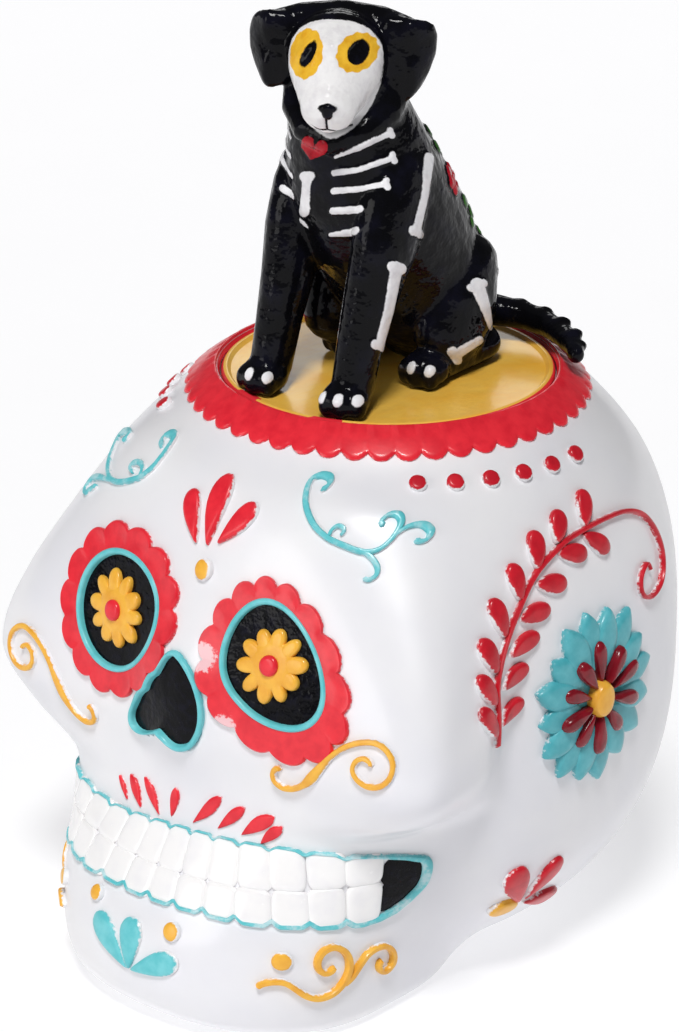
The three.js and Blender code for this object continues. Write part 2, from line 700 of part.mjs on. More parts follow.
function headLimb(stations, sides, across) {
  const frame = headFrame();
  const moved = stations.map(([x, y, z, w, d]) => {
    const p = new THREE.Vector3(x, y, z).applyMatrix4(frame);
    return [p.x, p.y, p.z, w, d];
  });
  const side = across.clone().transformDirection(frame);
  return limb(moved, sides, side);
}

function dogHead() {
  const sideways = new THREE.Vector3(1, 0, 0);
  const lengthways = new THREE.Vector3(0, 1, 0);
  const skull = headLimb(
    [
      [0, 9, -1, 12, 11.5],
      [0, 3, -0.5, 15, 14.5],
      [0, -5, -1, 15, 14.5],
      [0, -11, -6, 13, 13.5],
      [0, -17, -11, 9.5, 9.5],
    ],
    12,
    sideways,
  );
  const ears = [-1, 1].map((side) =>
    headLimb(
      [
        [side * 9, 2, 10, 3, 4],
        [side * 17, 2, 8, 3, 6.5],
        [side * 20.5, 1, 2, 2.8, 7.5],
        [side * 21, 0, -4, 2.6, 6.5],
        [side * 20, -1, -8.5, 2.2, 4],
      ],
      6,
      lengthways,
    ),
  );
  return [skull, ...ears];
}

function makeDog() {
  const torso = limb(
    [
      [0, 20, 9, 20, 14],
      [0, 15, 22, 23, 21],
      [0, 5, 38, 23, 25],
      [0, -6, 53, 23.5, 25.5],
      [0, -13, 67, 23.5, 23.5],
      [0, -17, 80, 21, 19.5],
      [0, -20, 92, 17.5, 15],
    ],
    14,
  );
  const pieces = [torso, ...dogHead()];
  for (const side of [-1, 1]) {
    const x = side * FORE_PAW.x;
    const ahead = side < 0 ? RIGHT_KNEE_AHEAD : 0;
    const elbow = side < 0 ? RIGHT_ELBOW_IN : 0;
    pieces.push(
      limb(
        [
          [side * 17, -15, 68, 8.5, 13],
          [side * (18 - elbow), -24, 48, 8.5, 12.5],
          [side * (16.5 - elbow / 2), -32, 25, 7, 8.5],
          [x, -36.5, 5, 6.4, 7],
        ],
        8,
      ),
    );
    pieces.push(paw(x, FORE_PAW.y));
    pieces.push(
      limb(
        [
          [side * 15.5, 20 - 0.4 * ahead, 31 + 0.6 * ahead, 9, 12 + 0.3 * ahead],
          [side * 17, 13 - ahead, 22 + 0.3 * ahead, 9.5, 16 + 0.8 * ahead],
          [side * 17.5, 7 - 0.8 * ahead, 12, 8.5, 14 + 0.6 * ahead],
        ],
        8,
      ),
    );
    pieces.push(
      limb(
        [
          [side * HIND_PAW.x, HIND_PAW.y[side] + 26, 5, 6, 6],
          [side * HIND_PAW.x, HIND_PAW.y[side] + 7, 5, 6, 6],
        ],
        6,
      ),
    );
    pieces.push(paw(side * HIND_PAW.x, HIND_PAW.y[side]));
  }
  pieces.push(
    limb(
      [
        [0, 32, 10, 6, 6],
        [10, 41, 9.5, 5, 5],
        [24, 44, 8.5, 4.4, 4],
        [37, 40, 7.6, 3.8, 3.2],
        [47, 33, 6.2, 2.8, 2.4],
      ],
      6,
      new THREE.Vector3(0, 0, 1),
    ),
  );
  return joined(pieces);
}

// Draws the ends of short edges together where the surface stays closed and no face turns over
function withoutShortEdges(points, faces, limit) {
  const around = points.map(() => new Set());
  faces.forEach((face, f) => face.forEach((v) => around[v].add(f)));
  const neighbours = (v) => new Set([...around[v]].flatMap((f) => faces[f]).filter((w) => w !== v));
  const normal = (face) => {
    const [a, b, c] = face.map((v) => points[v]);
    return b.clone().sub(a).cross(c.clone().sub(a));
  };
  const canMove = (from, to) =>
    [...around[from]]
      .filter((f) => !faces[f].includes(to))
      .every((f) => {
        const before = normal(faces[f]);
        const after = normal(faces[f].map((v) => (v === from ? to : v)));
        return before.dot(after) > 0.5 * before.length() * after.length() && after.length() > 1e-3;
      });
  const move = (from, to) => {
    for (const f of [...around[from]]) {
      if (faces[f].includes(to)) {
        faces[f].forEach((v) => around[v].delete(f));
        faces[f] = null;
      } else {
        faces[f] = faces[f].map((v) => (v === from ? to : v));
        around[to].add(f);
      }
    }
    around[from].clear();
  };
  for (let from = 0; from < points.length; from += 1) {
    const near = neighbours(from);
    for (const to of near) {
      if (points[from].distanceTo(points[to]) > limit) continue;
      const shared = [...neighbours(to)].filter((v) => near.has(v)).length;
      if (shared !== 2 || !canMove(from, to)) continue;
      move(from, to);
      break;
    }
  }
  return faces.filter((face) => face);
}

// Back from a solid to a named mesh
function meshOf(solid, name, material) {
  const { vertProperties, triVerts } = solid.getMesh();
  const points = [];
  for (let i = 0; i < vertProperties.length; i += 3) {
    points.push(new THREE.Vector3().fromArray(vertProperties, i));
  }
  const faces = [];
  for (let i = 0; i < triVerts.length; i += 3) faces.push([...triVerts.slice(i, i + 3)]);
  const geometry = new THREE.BufferGeometry().setFromPoints(points);
  geometry.setIndex(withoutShortEdges(points, faces, SHORTEST_EDGE).flat());
  geometry.computeVertexNormals();
  const mesh = new THREE.Mesh(geometry, material);
  mesh.name = name;
  return mesh;
}

const part = new THREE.Group();
part.add(meshOf(makeJar(), "skull_jar", GLAZE.white));
part.add(meshOf(makePlate().add(makeDog()), "dog_lid", GLAZE.black));

export default part;
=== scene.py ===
"""Painted sugar-skull jar with a lift-off lid that carries a seated dog painted as a skeleton."""

import math
from contextlib import contextmanager

import bmesh
import bpy
import numpy as np
from mathutils import Matrix, Vector


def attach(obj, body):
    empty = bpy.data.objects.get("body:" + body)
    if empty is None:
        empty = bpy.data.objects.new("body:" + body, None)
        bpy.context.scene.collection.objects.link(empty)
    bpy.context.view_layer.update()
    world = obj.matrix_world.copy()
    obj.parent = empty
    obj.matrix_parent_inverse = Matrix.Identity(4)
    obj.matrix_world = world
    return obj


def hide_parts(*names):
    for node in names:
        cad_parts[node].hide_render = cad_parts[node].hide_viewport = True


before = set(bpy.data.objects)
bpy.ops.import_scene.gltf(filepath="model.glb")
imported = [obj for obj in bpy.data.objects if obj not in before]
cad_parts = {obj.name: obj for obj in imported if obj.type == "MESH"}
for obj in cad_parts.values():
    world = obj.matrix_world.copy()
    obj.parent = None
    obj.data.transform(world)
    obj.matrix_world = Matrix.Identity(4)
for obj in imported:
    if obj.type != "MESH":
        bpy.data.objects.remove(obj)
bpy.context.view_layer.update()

MM = 0.001  # lengths below are in millimetres, and meshes in metres


# Form of the skull

CRANIUM = {"centre": (0, -1.5, 94.3), "half": (88.4, 87.2, 97.6), "plan": 2.3, "side": 2.5}
CROWN = {"centre": (0, 0, 94.3), "half": (88.4, 88.4, 97.6), "plan": 2, "side": 2.5}
FOOT = {"centre": (0, -22, -10), "half": (46, 62, 22), "plan": 2.3, "side": 3}
CROWN_FADE_IN = (120, 150)  # heights between which the round crown takes over from the cranium
CROWN_FADE_OUT = (62, 82)  # radii between which it gives way again
FOOT_BLEND = 6
FACE_BLEND = 20
BASE_ROUNDING = 8
BASE_GROUND_OFF = 0.8
FACE_TOP = 170
FACE_TOP_BLEND = 14
NOSE_BRIDGE = {"z": 102, "rise": 6, "half_width": 24, "half_height": 34}

# Each level of the face: its height, half width, reach in front, centre, reach behind, and how square
# it is fore and aft
FACE_LEVELS = np.array([
    [-8, 50, 97, 60, 36, 2.3, 3.7],
    [8, 55, 117, 66, 41, 2.3, 3.7],
    [30, 57, 117.5, 68, 43, 2.3, 3.7],
    [50, 57, 108, 68, 41, 2.3, 3.7],
    [66, 60, 98, 68, 37, 2.5, 3.2],
    [77, 79, 95, 69, 32, 3.2, 2.6],
    [92, 88.5, 95, 69, 30, 4.2, 2.5],
    [116, 83.5, 90.5, 64, 30, 3.3, 2.5],
    [138, 71, 82.5, 53, 30, 2.8, 2.5],
    [158, 54, 72, 38, 30, 2.6, 2.5],
    [182, 34, 56, 22, 30, 2.6, 2.5],
])
HALF, FRONT_REACH, CENTRE, REAR_REACH, SQUARE, SQUARE_REAR = range(1, 7)

CORE = np.array([0.0, -18.0, 85.0])  # every point of the skin is seen from here
BEYOND = 190  # a reach from the core that is past the skin in every direction
WALL = 6
MOUTH_RADIUS = 44.5
SEAT_RADIUS = 52.5
SEAT_Z = 173.2
UP = np.array([0.0, 0.0, 1.0])

# The lid's plate
PLATE_RADIUS = 51.3
PLATE_BOTTOM = 173.5
PLATE_TOP = 179.1
RIM_HEIGHT = 1.1
RIM_WIDTH = 3
RING_OUTER = 43.3
RING_WALL = 4
RING_DEPTH = 9


def soft_min(a, b, blend):
    """The lesser of two distances, rounded over where they are nearly equal"""
    overlap = np.maximum(blend - np.abs(a - b), 0) / blend
    return np.minimum(a, b) - overlap * overlap * blend / 4


def soft_max(a, b, blend):
    return -soft_min(-a, -b, blend)


def smooth_step(x, low, high):
    t = np.clip((x - low) / (high - low), 0, 1)
    return t * t * (3 - 2 * t)


def face_measure(column, z):
    """A smooth curve through one measure of the face levels, read at the heights z"""
    heights = FACE_LEVELS[:, 0]
    values = FACE_LEVELS[:, column]
    height = np.clip(z, heights[0], heights[-1] - 1e-6)
    i = np.clip(np.searchsorted(heights, height, side="right") - 1, 0, len(heights) - 2)
    last = len(heights) - 1
    below = np.maximum(np.arange(len(heights)) - 1, 0)
    above = np.minimum(np.arange(len(heights)) + 1, last)
    slopes = (values[above] - values[below]) / (heights[above] - heights[below])
    span = heights[i + 1] - heights[i]
    t = (height - heights[i]) / span
    return (
        (2 * t**3 - 3 * t**2 + 1) * values[i]
        + (t**3 - 2 * t**2 + t) * span * slopes[i]
        + (3 * t**2 - 2 * t**3) * values[i + 1]
        + (t**3 - t**2) * span * slopes[i + 1]
    )


def block_distance(p, block):
    """Distance to a rounded block along the line from its centre"""
    x, y, z = (p - np.array(block["centre"])).T
    a, b, c = block["half"]
    plan, side = block["plan"], block["side"]
    u = np.abs(x / a) ** plan
    v = np.abs(y / b) ** plan
    w = np.abs(z / c) ** side
    scale = ((u + v) ** (side / plan) + w) ** (1 / side) + 1e-9
    return np.sqrt(x * x + y * y + z * z) * (1 - 1 / scale)


def face_distance(p):
    x, y, z = p.T
    centre = -face_measure(CENTRE, z)
    along = y - centre
    ahead = along < 0
    square = np.where(ahead, face_measure(SQUARE, z), face_measure(SQUARE_REAR, z))
    reach = np.where(ahead, face_measure(FRONT_REACH, z) + centre, face_measure(REAR_REACH, z))
    u = np.abs(x / face_measure(HALF, z)) ** square
    v = np.abs(along / reach) ** square
    scale = (u + v) ** (1 / square) + 1e-9
    side = np.hypot(x, along) * (1 - 1 / scale)
    off = np.hypot(x / NOSE_BRIDGE["half_width"], (z - NOSE_BRIDGE["z"]) / NOSE_BRIDGE["half_height"])
    bridge = np.where(ahead & (off < 1), NOSE_BRIDGE["rise"] * (1 - off * off) ** 2, 0)
    return soft_max(side - bridge, z - FACE_TOP, FACE_TOP_BLEND)


def skull_distance(p):
    """Signed distance to the skull's skin, negative inside, for points in rows"""
    standing = soft_min(block_distance(p, CRANIUM), block_distance(p, FOOT), FOOT_BLEND)
    body = soft_min(standing, face_distance(p), FACE_BLEND)
    radius = np.hypot(p[:, 0], p[:, 1])
    share = (1 - smooth_step(radius, *CROWN_FADE_OUT)) * smooth_step(p[:, 2], *CROWN_FADE_IN)
    skin = body * (1 - share) + block_distance(p, CROWN) * share
    return soft_max(skin, -p[:, 2] - BASE_GROUND_OFF, BASE_ROUNDING)


def skull_normal(p, step=0.8):
    """The way out of the skin at points in rows"""
    slope = []
    for axis in range(3):
        shift = np.zeros(3)
        shift[axis] = step
        slope.append(skull_distance(p + shift) - skull_distance(p - shift))
    slope = np.array(slope).T
    return slope / np.linalg.norm(slope, axis=1, keepdims=True)


def bisect_line(start, direction, outside, inside, depth=0.0):
    """Points where lines pass a depth under the skin, between an outside and an inside reach"""
    outside = np.array(outside, dtype=float)
    inside = np.array(inside, dtype=float)
    for _ in range(22):
        middle = (outside + inside) / 2
        within = skull_distance(start + direction * middle[:, None]) < -depth
        inside = np.where(within, middle, inside)
        outside = np.where(within, outside, middle)
    return start + direction * outside[:, None]


def first_crossing(start, direction, reach, strides=44):
    """Points where lines that come from outside first meet the skin"""
    low = np.full(len(start), reach * (strides - 1) / strides)
    high = np.full(len(start), float(reach))
    found = np.zeros(len(start), dtype=bool)
    for stride in range(1, strides + 1):
        far = reach * stride / strides
        hit = (skull_distance(start + direction * far) < 0) & ~found
        high[hit] = far
        low[hit] = far - reach / strides
        found |= hit
    return bisect_line(start, direction, low, high)


# Views in which ornaments are laid out flat, in millimetres, and then carried on to the skin. Each gives
# where its lines of sight start, which way they go and how far they are followed.

FRONT_START, FRONT_SIGHT = -150.0, 125
SIDE_START, SIDE_SIGHT = 125.0, 100
TOP_START, TOP_SIGHT = 232.0, 110
JAW_START, JAW_SIGHT = 120, 105
JAW_AXIS_Y = -60
JAW_REACH = 52.0  # the radius on which the view round the jaw is measured


def sight_lines(start, direction, reach):
    """Lines of sight that all go one way"""
    return start, np.tile(np.array(direction, dtype=float), (len(start), 1)), reach


def front_view(u, v):
    return sight_lines(np.column_stack([u, np.full(len(u), FRONT_START), v]), (0, 1, 0), FRONT_SIGHT)


def top_view(u, v):
    return sight_lines(np.column_stack([u, v, np.full(len(u), TOP_START)]), (0, 0, -1), TOP_SIGHT)


def side_view(side):
    """Seen from one side, where u runs back on the left side and forward on the right"""
    def view(u, v):
        start = np.column_stack([np.full(len(u), side * SIDE_START), side * u, v])
        return sight_lines(start, (-side, 0, 0), SIDE_SIGHT)
    return view


def jaw_view(u, v):
    """Seen all round the jaw, with u along a circle about an upright line inside it"""
    turn = u / JAW_REACH
    out = np.column_stack([np.sin(turn), -np.cos(turn), np.zeros(len(u))])
    return np.array([0, JAW_AXIS_Y, 0]) + out * JAW_START + np.outer(v, UP), -out, JAW_SIGHT


LEFT_VIEW = side_view(1)
RIGHT_VIEW = side_view(-1)


def on_skull(view, u, v, lift):
    """The skin's points seen at u across and v up in a view, raised by lift along the skin's normal"""
    start, direction, reach = view(np.asarray(u, dtype=float), np.asarray(v, dtype=float))
    skin = first_crossing(start, direction, reach)
    return skin + skull_normal(skin) * np.asarray(lift, dtype=float)[:, None]


# Finishes

class Value:
    """A number that a shader works out, on which Python arithmetic can be done"""

    def __init__(self, finish, socket):
        self.finish = finish
        self.socket = socket

    def maths(self, operation, other):
        return self.finish.add("ShaderNodeMath", {"operation": operation}, {0: self, 1: other})

    def __add__(self, other):
        return self.maths("ADD", other)

    def __sub__(self, other):
        return self.maths("SUBTRACT", other)

    def __rsub__(self, other):
        return (self * -1) + other

    def __mul__(self, other):
        return self.maths("MULTIPLY", other)

    __radd__ = __add__
    __rmul__ = __mul__

    def step(self, low, high):
        """0 below low, 1 above high and a soft rise between"""
        settings = {"interpolation_type": "SMOOTHSTEP", "clamp": True}
        values = {"Value": self, "From Min": low, "From Max": high}
        return self.finish.add("ShaderNodeMapRange", settings, values)


class Finish:
    """A glaze or a paint, built node by node"""

    def __init__(self, name):
        self.material = bpy.data.materials.new(name)
        self.material.use_nodes = True
        self.nodes = self.material.node_tree.nodes
        self.links = self.material.node_tree.links
        self.shader = self.nodes["Principled BSDF"]
        self.place = self.add("ShaderNodeTexCoord", {}, {}, "Object")

    def add(self, kind, settings, values, output=0):
        node = self.nodes.new(kind)
        for key, setting in settings.items():
            setattr(node, key, setting)
        for key, value in values.items():
            self.put(node.inputs[key], value)
        return Value(self, node.outputs[output])

    def put(self, socket, value):
        """Links a worked-out value to a socket, or sets a plain one on it"""
        if isinstance(value, Value):
            self.links.new(value.socket, socket)
        elif socket.type == "RGBA":
            socket.default_value = (*value, 1)
        else:
            socket.default_value = value

    def noise(self, size, detail=2.0, roughness=0.5, stretch=None):
        """Cloudy noise from 0 to 1, with features of about size mm"""
        place = self.place
        if stretch:
            place = self.add("ShaderNodeMapping", {}, {"Vector": place, "Scale": stretch})
        values = {"Vector": place, "Scale": 1 / (size * MM), "Detail": detail, "Roughness": roughness}
        return self.add("ShaderNodeTexNoise", {}, values, "Fac")

    def mix(self, share, first, second):
        """A colour between two: the first where share is 0, the second where it is 1"""
        factor, colour_a, colour_b, colour_out = 0, 6, 7, 2
        values = {factor: share, colour_a: first, colour_b: second}
        return self.add("ShaderNodeMix", {"data_type": "RGBA"}, values, colour_out)

    def attribute(self, name):
        """What was written on the piece's corners under a name"""
        return self.add("ShaderNodeAttribute", {"attribute_name": name}, {}, "Fac")

    def bump(self, height, strength, distance):
        """Relief of the glaze, where height 1 stands distance mm proud"""
        values = {"Height": height, "Strength": strength, "Distance": distance * MM}
        self.put(self.shader.inputs["Normal"], self.add("ShaderNodeBump", {}, values, "Normal"))

    def set(self, **values):
        """Sets the glaze's own values, whose names are written with _ for a space"""
        for key, value in values.items():
            self.put(self.shader.inputs[key.replace("_", " ")], value)


WHITE = (0.87, 0.865, 0.885)
WHITE_COOL = (0.80, 0.80, 0.85)
RED = (0.86, 0.028, 0.045)
RED_DEEP = (0.72, 0.014, 0.03)
PINK = (0.9, 0.55, 0.58)
CRIMSON = (0.64, 0.014, 0.028)
CRIMSON_DEEP = (0.5, 0.008, 0.02)
WINE = (0.26, 0.008, 0.018)
WINE_DEEP = (0.16, 0.004, 0.01)
TEAL = (0.11, 0.55, 0.6)
TEAL_PALE = (0.19, 0.64, 0.69)
TEAL_DARK = (0.07, 0.41, 0.47)
TEAL_MIDDLE = (0.12, 0.5, 0.56)
YELLOW = (0.93, 0.5, 0.06)
YELLOW_DEEP = (0.84, 0.39, 0.035)
AMBER = (1.0, 0.6, 0.1)
AMBER_DEEP = (0.97, 0.5, 0.05)
BLACK = (0.003, 0.003, 0.004)
# black where the glaze ran, tinted blue as a painted sheen
BLACK_RUN_AND_SHEEN = (0.006, 0.006, 0.013)
GREEN = (0.05, 0.16, 0.03)
GREEN_DEEP = (0.02, 0.07, 0.015)


def white_glaze():
    """Gloss white glaze, a little lumpy from the hand-made mould, with a cool cast where it pools"""
    glaze = Finish("white_glaze")
    pools = glaze.noise(46, 3.0)
    hand = glaze.noise(13, 2.0)
    skin = glaze.noise(3, 2.0)
    tone = glaze.mix(pools.step(0.3, 0.8), WHITE, WHITE_COOL)
    tone = glaze.mix(skin.step(0.5, 0.9) * 0.18, tone, (0.8, 0.79, 0.82))
    glaze.set(Base_Color=tone, Roughness=0.24 + hand * 0.16, Coat_Weight=0.3, Coat_Roughness=0.12)
    glaze.bump(pools * 0.8 + hand * 0.22 + skin * 0.025, 0.5, 0.9)
    return glaze.material


def tooth_glaze():
    """Thicker, smoother white glaze on the teeth"""
    glaze = Finish("tooth_glaze")
    pools = glaze.noise(7, 2.0)
    skin = glaze.noise(2, 2.0)
    tone = glaze.mix(pools.step(0.4, 0.8), (0.95, 0.94, 0.94), (0.9, 0.89, 0.91))
    glaze.set(Base_Color=tone, Roughness=0.2 + skin * 0.1, Coat_Weight=0.3, Coat_Roughness=0.12)
    glaze.bump(pools * 0.4 + skin * 0.05, 0.4, 0.6)
    return glaze.material


def painted(name, colour, deep, thin=0.0, gloss=0.24, faded=None):
    """Hand-laid paint on a raised ornament, which stops short of the foot and varies with the brush

    Of thin paint some share is worn through to the white, and a faded colour shows where it is rubbed.
    """
    paint = Finish(name)
    ragged = paint.noise(1.5, 3.0, 0.6)
    strokes = paint.noise(5, 3.0, 0.55)
    streaks = paint.noise(1.1, 2.0, 0.6)
    cover = (paint.attribute("paint") + (ragged - 0.5) * 0.28).step(0.33, 0.41)
    tone = paint.mix(strokes.step(0.3, 0.75), colour, deep)
    if thin:
        worn = (streaks * 0.25 + strokes * 0.75).step(0.46, 0.66) * thin
        tone = paint.mix(worn, tone, WHITE)
    if faded:
        rubbed = (paint.attribute("worn") + (streaks - 0.5) * 1.4).step(0.35, 0.75)
        tone = paint.mix(rubbed, tone, faded)
    tone = paint.mix(cover, WHITE, tone)
    paint.set(Base_Color=tone, Roughness=gloss + strokes * 0.16, Specular_IOR_Level=0.32,
              Coat_Weight=0.2, Coat_Roughness=0.12)
    paint.bump(cover * 0.25 + strokes * 0.4 + streaks * 0.1, 0.5, 0.35)
    return paint.material


# The paints of the dog's marks, in the order in which they go on: a colour, and a deeper one under the brush
DOG_PAINTS = {
    "leaf": (GREEN, GREEN_DEEP),
    "bone": (WHITE, (0.72, 0.71, 0.74)),
    "face": ((0.86, 0.85, 0.85), (0.74, 0.72, 0.74)),
    "yellow": ((0.86, 0.5, 0.04), (0.74, 0.36, 0.02)),
    "red": ((0.5, 0.012, 0.025), (0.3, 0.006, 0.014)),
    # the dark marks go on in black and in black with a painted blue sheen
    "dark": (BLACK, BLACK_RUN_AND_SHEEN),
}


def dog_glaze():
    """Wet-looking black glaze that has run unevenly over the modelling, with a painted blue sheen in patches,
    and the dog's painted marks
    """
    glaze = Finish("black_dog_glaze")
    run = glaze.noise(8, 3.0, 0.5)
    skin = glaze.noise(3, 2.0, 0.5)
    # patches where the glaze ran are tinted blue: a painted sheen
    tone = glaze.mix(run.step(0.4, 0.8), BLACK, BLACK_RUN_AND_SHEEN)
    ragged = (glaze.noise(1.7, 3.0, 0.6) - 0.5) * 0.16
    brushed = glaze.noise(4, 3.0, 0.6).step(0.35, 0.8)
    for mark, (colour, deep) in DOG_PAINTS.items():
        cover = (glaze.attribute(mark) + ragged).step(0.46, 0.54)
        tone = glaze.mix(cover, tone, glaze.mix(brushed, colour, deep))
    glaze.set(Base_Color=tone, Roughness=0.04 + run * 0.1, Specular_IOR_Level=0.1,
              Coat_Weight=0.04, Coat_Roughness=0.03)
    glaze.bump(run * 1.9 + skin * 0.16, 0.6, 1.0)
    return glaze.material


def socket_glaze():
    """Black glaze in the sockets, with a painted blue sheen in patches and small glints where it has puckered
    """
    glaze = Finish("socket_glaze")
    pucker = glaze.noise(3.0, 2.0, 0.6)
    # patches tinted blue: a painted sheen
    tone = glaze.mix(pucker.step(0.4, 0.8), BLACK, BLACK_RUN_AND_SHEEN)
    glaze.set(Base_Color=tone, Roughness=0.08 + pucker * 0.1, Specular_IOR_Level=0.1,
              Coat_Weight=0.02, Coat_Roughness=0.05)
    glaze.bump(pucker * 0.6, 0.45, 0.9)
    return glaze.material


def amber_plate():
    """Amber yellow paint on the lid's plate, brushed round, with thicker and thinner patches"""
    paint = Finish("amber_plate")
    patches = paint.noise(17, 3.0, 0.6)
    brush = paint.noise(3.2, 3.0, 0.6, stretch=(1.0, 0.35, 1.0))
    tone = paint.mix(patches.step(0.35, 0.75), AMBER, AMBER_DEEP)
    tone = paint.mix(brush.step(0.5, 0.9) * 0.5, tone, (0.86, 0.47, 0.1))
    tone = paint.mix(paint.attribute("red").step(0.45, 0.55), tone, RED)
    paint.set(Base_Color=tone, Roughness=0.24 + patches * 0.2, Coat_Weight=0.3, Coat_Roughness=0.14)
    paint.bump(patches * 1.2 + brush * 0.5, 0.5, 0.8)
    return paint.material


# Making and finishing of pieces

def all_off():
    if bpy.context.object and bpy.context.object.mode != "OBJECT":
        bpy.ops.object.mode_set(mode="OBJECT")
    bpy.ops.object.select_all(action="DESELECT")


def only(obj):
    all_off()
    obj.select_set(True)
    bpy.context.view_layer.objects.active = obj


@contextmanager
def editing(obj, select="SELECT"):
    """Edit mode, with all of a piece selected or none of it"""
    only(obj)
    bpy.ops.object.mode_set(mode="EDIT")
    bpy.ops.mesh.select_all(action=select)
    yield
    bpy.ops.object.mode_set(mode="OBJECT")


def coords(obj):
    """A piece's corners in millimetres, one in each row"""
    flat = np.empty(len(obj.data.vertices) * 3)
    obj.data.vertices.foreach_get("co", flat)
    return flat.reshape(-1, 3) / MM


def put_coords(obj, points):
    obj.data.vertices.foreach_set("co", (np.asarray(points) * MM).ravel())
    obj.data.update()


def settle(obj):
    """Carries a piece's place into its mesh, so that the piece itself sits at the origin"""
    only(obj)
    bpy.ops.object.transform_apply(location=True, rotation=True, scale=True)


def join(parts):
    only(parts[0])
    for part in parts:
        part.select_set(True)
    if len(parts) > 1:
        bpy.ops.object.join()
    return bpy.context.active_object


def face_outwards(obj):
    """Merges corners that meet, and turns all faces outwards"""
    with editing(obj):
        bpy.ops.mesh.remove_doubles(threshold=0.002 * MM)
        bpy.ops.mesh.normals_make_consistent(inside=False)


def finish_piece(obj, name, material, *, sharp):
    """Names and glazes a finished piece, with its edges left sharp past an angle in degrees"""
    obj.name = name
    obj.data.name = name
    obj.data.materials.clear()
    obj.data.materials.append(material)
    only(obj)
    bpy.ops.object.shade_smooth_by_angle(angle=math.radians(sharp))
    all_off()
    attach(obj, "root")


# The skull

SKULL_COLUMNS = 320
OUTER_ROWS = 196
INNER_ROWS = 34
FRONT_CROWDING = 0.45
EYES = {
    1: {"x": 31.6, "z": 119.4, "half_width": 18, "up": 18.7, "down": 17.6, "taper": 0.2, "lean": 0.24},
    -1: {"x": 29.8, "z": 119.4, "half_width": 18.3, "up": 18.2, "down": 17.9, "taper": -0.1, "lean": 0.04},
}
NOSE = np.array([-4.0, 97])
NOSE_OUTLINE = np.array([
    (-3, 117), (-7.3, 109.6), (-13.4, 101.8), (-18.6, 94.6), (-20.8, 89.6), (-19.8, 86.2), (-15.2, 85.6),
    (-10.8, 87.8), (-7, 89.6), (-3.6, 88.2), (1.4, 86.4), (6.6, 88.6), (9.9, 93.8), (10.8, 100.4),
    (8.8, 107.4), (4.8, 112.8), (0.6, 115.9),
])
NOSE_ROUNDING = np.radians([-5, -2.5, 0, 2.5, 5])  # turns over which its outline is evened out
POCKET_DEPTH = 3.2


def egg(side, turn, margin):
    """Outline of an eye in the front view, at turns round it and grown by a margin"""
    eye = EYES[side]
    turn = np.asarray(turn, dtype=float)
    sine = np.sin(turn)
    v = np.where(sine > 0, eye["up"], eye["down"]) * sine + margin * sine
    u = (eye["half_width"] + margin) * np.cos(turn) * (1 - eye["taper"] * sine) - eye["lean"] * v
    return side * (eye["x"] + u), eye["z"] + v


def in_egg(side, x, z, margin):
    """How far points of the front view are from the middle of an eye, where 1 is its outline"""
    eye = EYES[side]
    v = z - eye["z"]
    u = side * x - eye["x"] + eye["lean"] * v
    height = np.where(v > 0, eye["up"], eye["down"]) + margin
    sine = np.clip(v / height, -1, 1)
    return np.hypot(v / height, u / ((eye["half_width"] + margin) * (1 - eye["taper"] * sine)))


def reach_round(outline, middle, turn):
    """How far an outline lies from its middle, at turns round it"""
    offset = outline - middle
    around = np.arctan2(offset[:, 1], offset[:, 0])
    order = np.argsort(around)
    return np.interp(turn, around[order], np.hypot(*offset.T)[order], period=2 * math.pi)


def nose_reach(turn):
    return np.mean([reach_round(NOSE_OUTLINE, NOSE, turn + aside) for aside in NOSE_ROUNDING], axis=0)


def heart(turn, margin):
    """Outline of the nose in the front view: an upturned heart with a cleft foot"""
    far = nose_reach(turn) + margin
    return NOSE[0] + far * np.cos(turn), NOSE[1] + far * np.sin(turn)


def in_heart(x, z, margin):
    """How far points of the front view are from the middle of the nose, where 1 is its outline"""
    across, up = x - NOSE[0], z - NOSE[1]
    return np.hypot(across, up) / (nose_reach(np.arctan2(up, across)) + margin)


def skull_rings():
    """Rings of the jar from under its foot, up over its skin, in at the mouth and down round the cavity"""
    even = np.linspace(-math.pi, math.pi, SKULL_COLUMNS, endpoint=False)
    turn = even - FRONT_CROWDING * np.sin(even)
    out = np.column_stack([np.sin(turn), -np.cos(turn), np.zeros(SKULL_COLUMNS)])
    inward = out @ CORE
    straight_down = -math.pi / 2

    def reach_to(radius):
        """How far out from the core each column comes to a circle about the lid's axis"""
        return -inward + np.sqrt(inward**2 - (CORE[1] ** 2 - radius**2))

    def circle(radius, z):
        ring = CORE + out * reach_to(radius)[:, None]
        ring[:, 2] = z
        return ring

    def skin_ring(climb, depth=0.0):
        """Points of the skin, or under it, where each column is seen from the core at its own climb"""
        way = out * np.cos(climb)[:, None] + np.outer(np.sin(climb), UP)
        start = np.tile(CORE, (SKULL_COLUMNS, 1))
        return bisect_line(start, way, np.full(SKULL_COLUMNS, BEYOND), np.zeros(SKULL_COLUMNS), depth)

    rim = first_crossing(*sight_lines(circle(SEAT_RADIUS, TOP_START), (0, 0, -1), TOP_SIGHT))
    rim_climb = np.arctan2(rim[:, 2] - CORE[2], reach_to(SEAT_RADIUS))
    rings = []
    for row in range(1, OUTER_ROWS + 1):
        rings.append(skin_ring(straight_down + (rim_climb - straight_down) * row / OUTER_ROWS))
    rings += [circle(SEAT_RADIUS, z) for z in (SEAT_Z + 2.5, SEAT_Z)]
    rings += [circle(radius, SEAT_Z) for radius in (SEAT_RADIUS - 3, MOUTH_RADIUS + 1, MOUTH_RADIUS)]
    lip = SEAT_Z - WALL
    rings.append(circle(MOUTH_RADIUS, lip))
    lip_climb = np.arctan2(lip - CORE[2], reach_to(MOUTH_RADIUS))
    for row in range(1, INNER_ROWS):
        wall = skin_ring(lip_climb + (straight_down - lip_climb) * row / INNER_ROWS, WALL)
        wall[:, 2] = np.minimum(wall[:, 2], lip)
        rings.append(wall)
    return rings


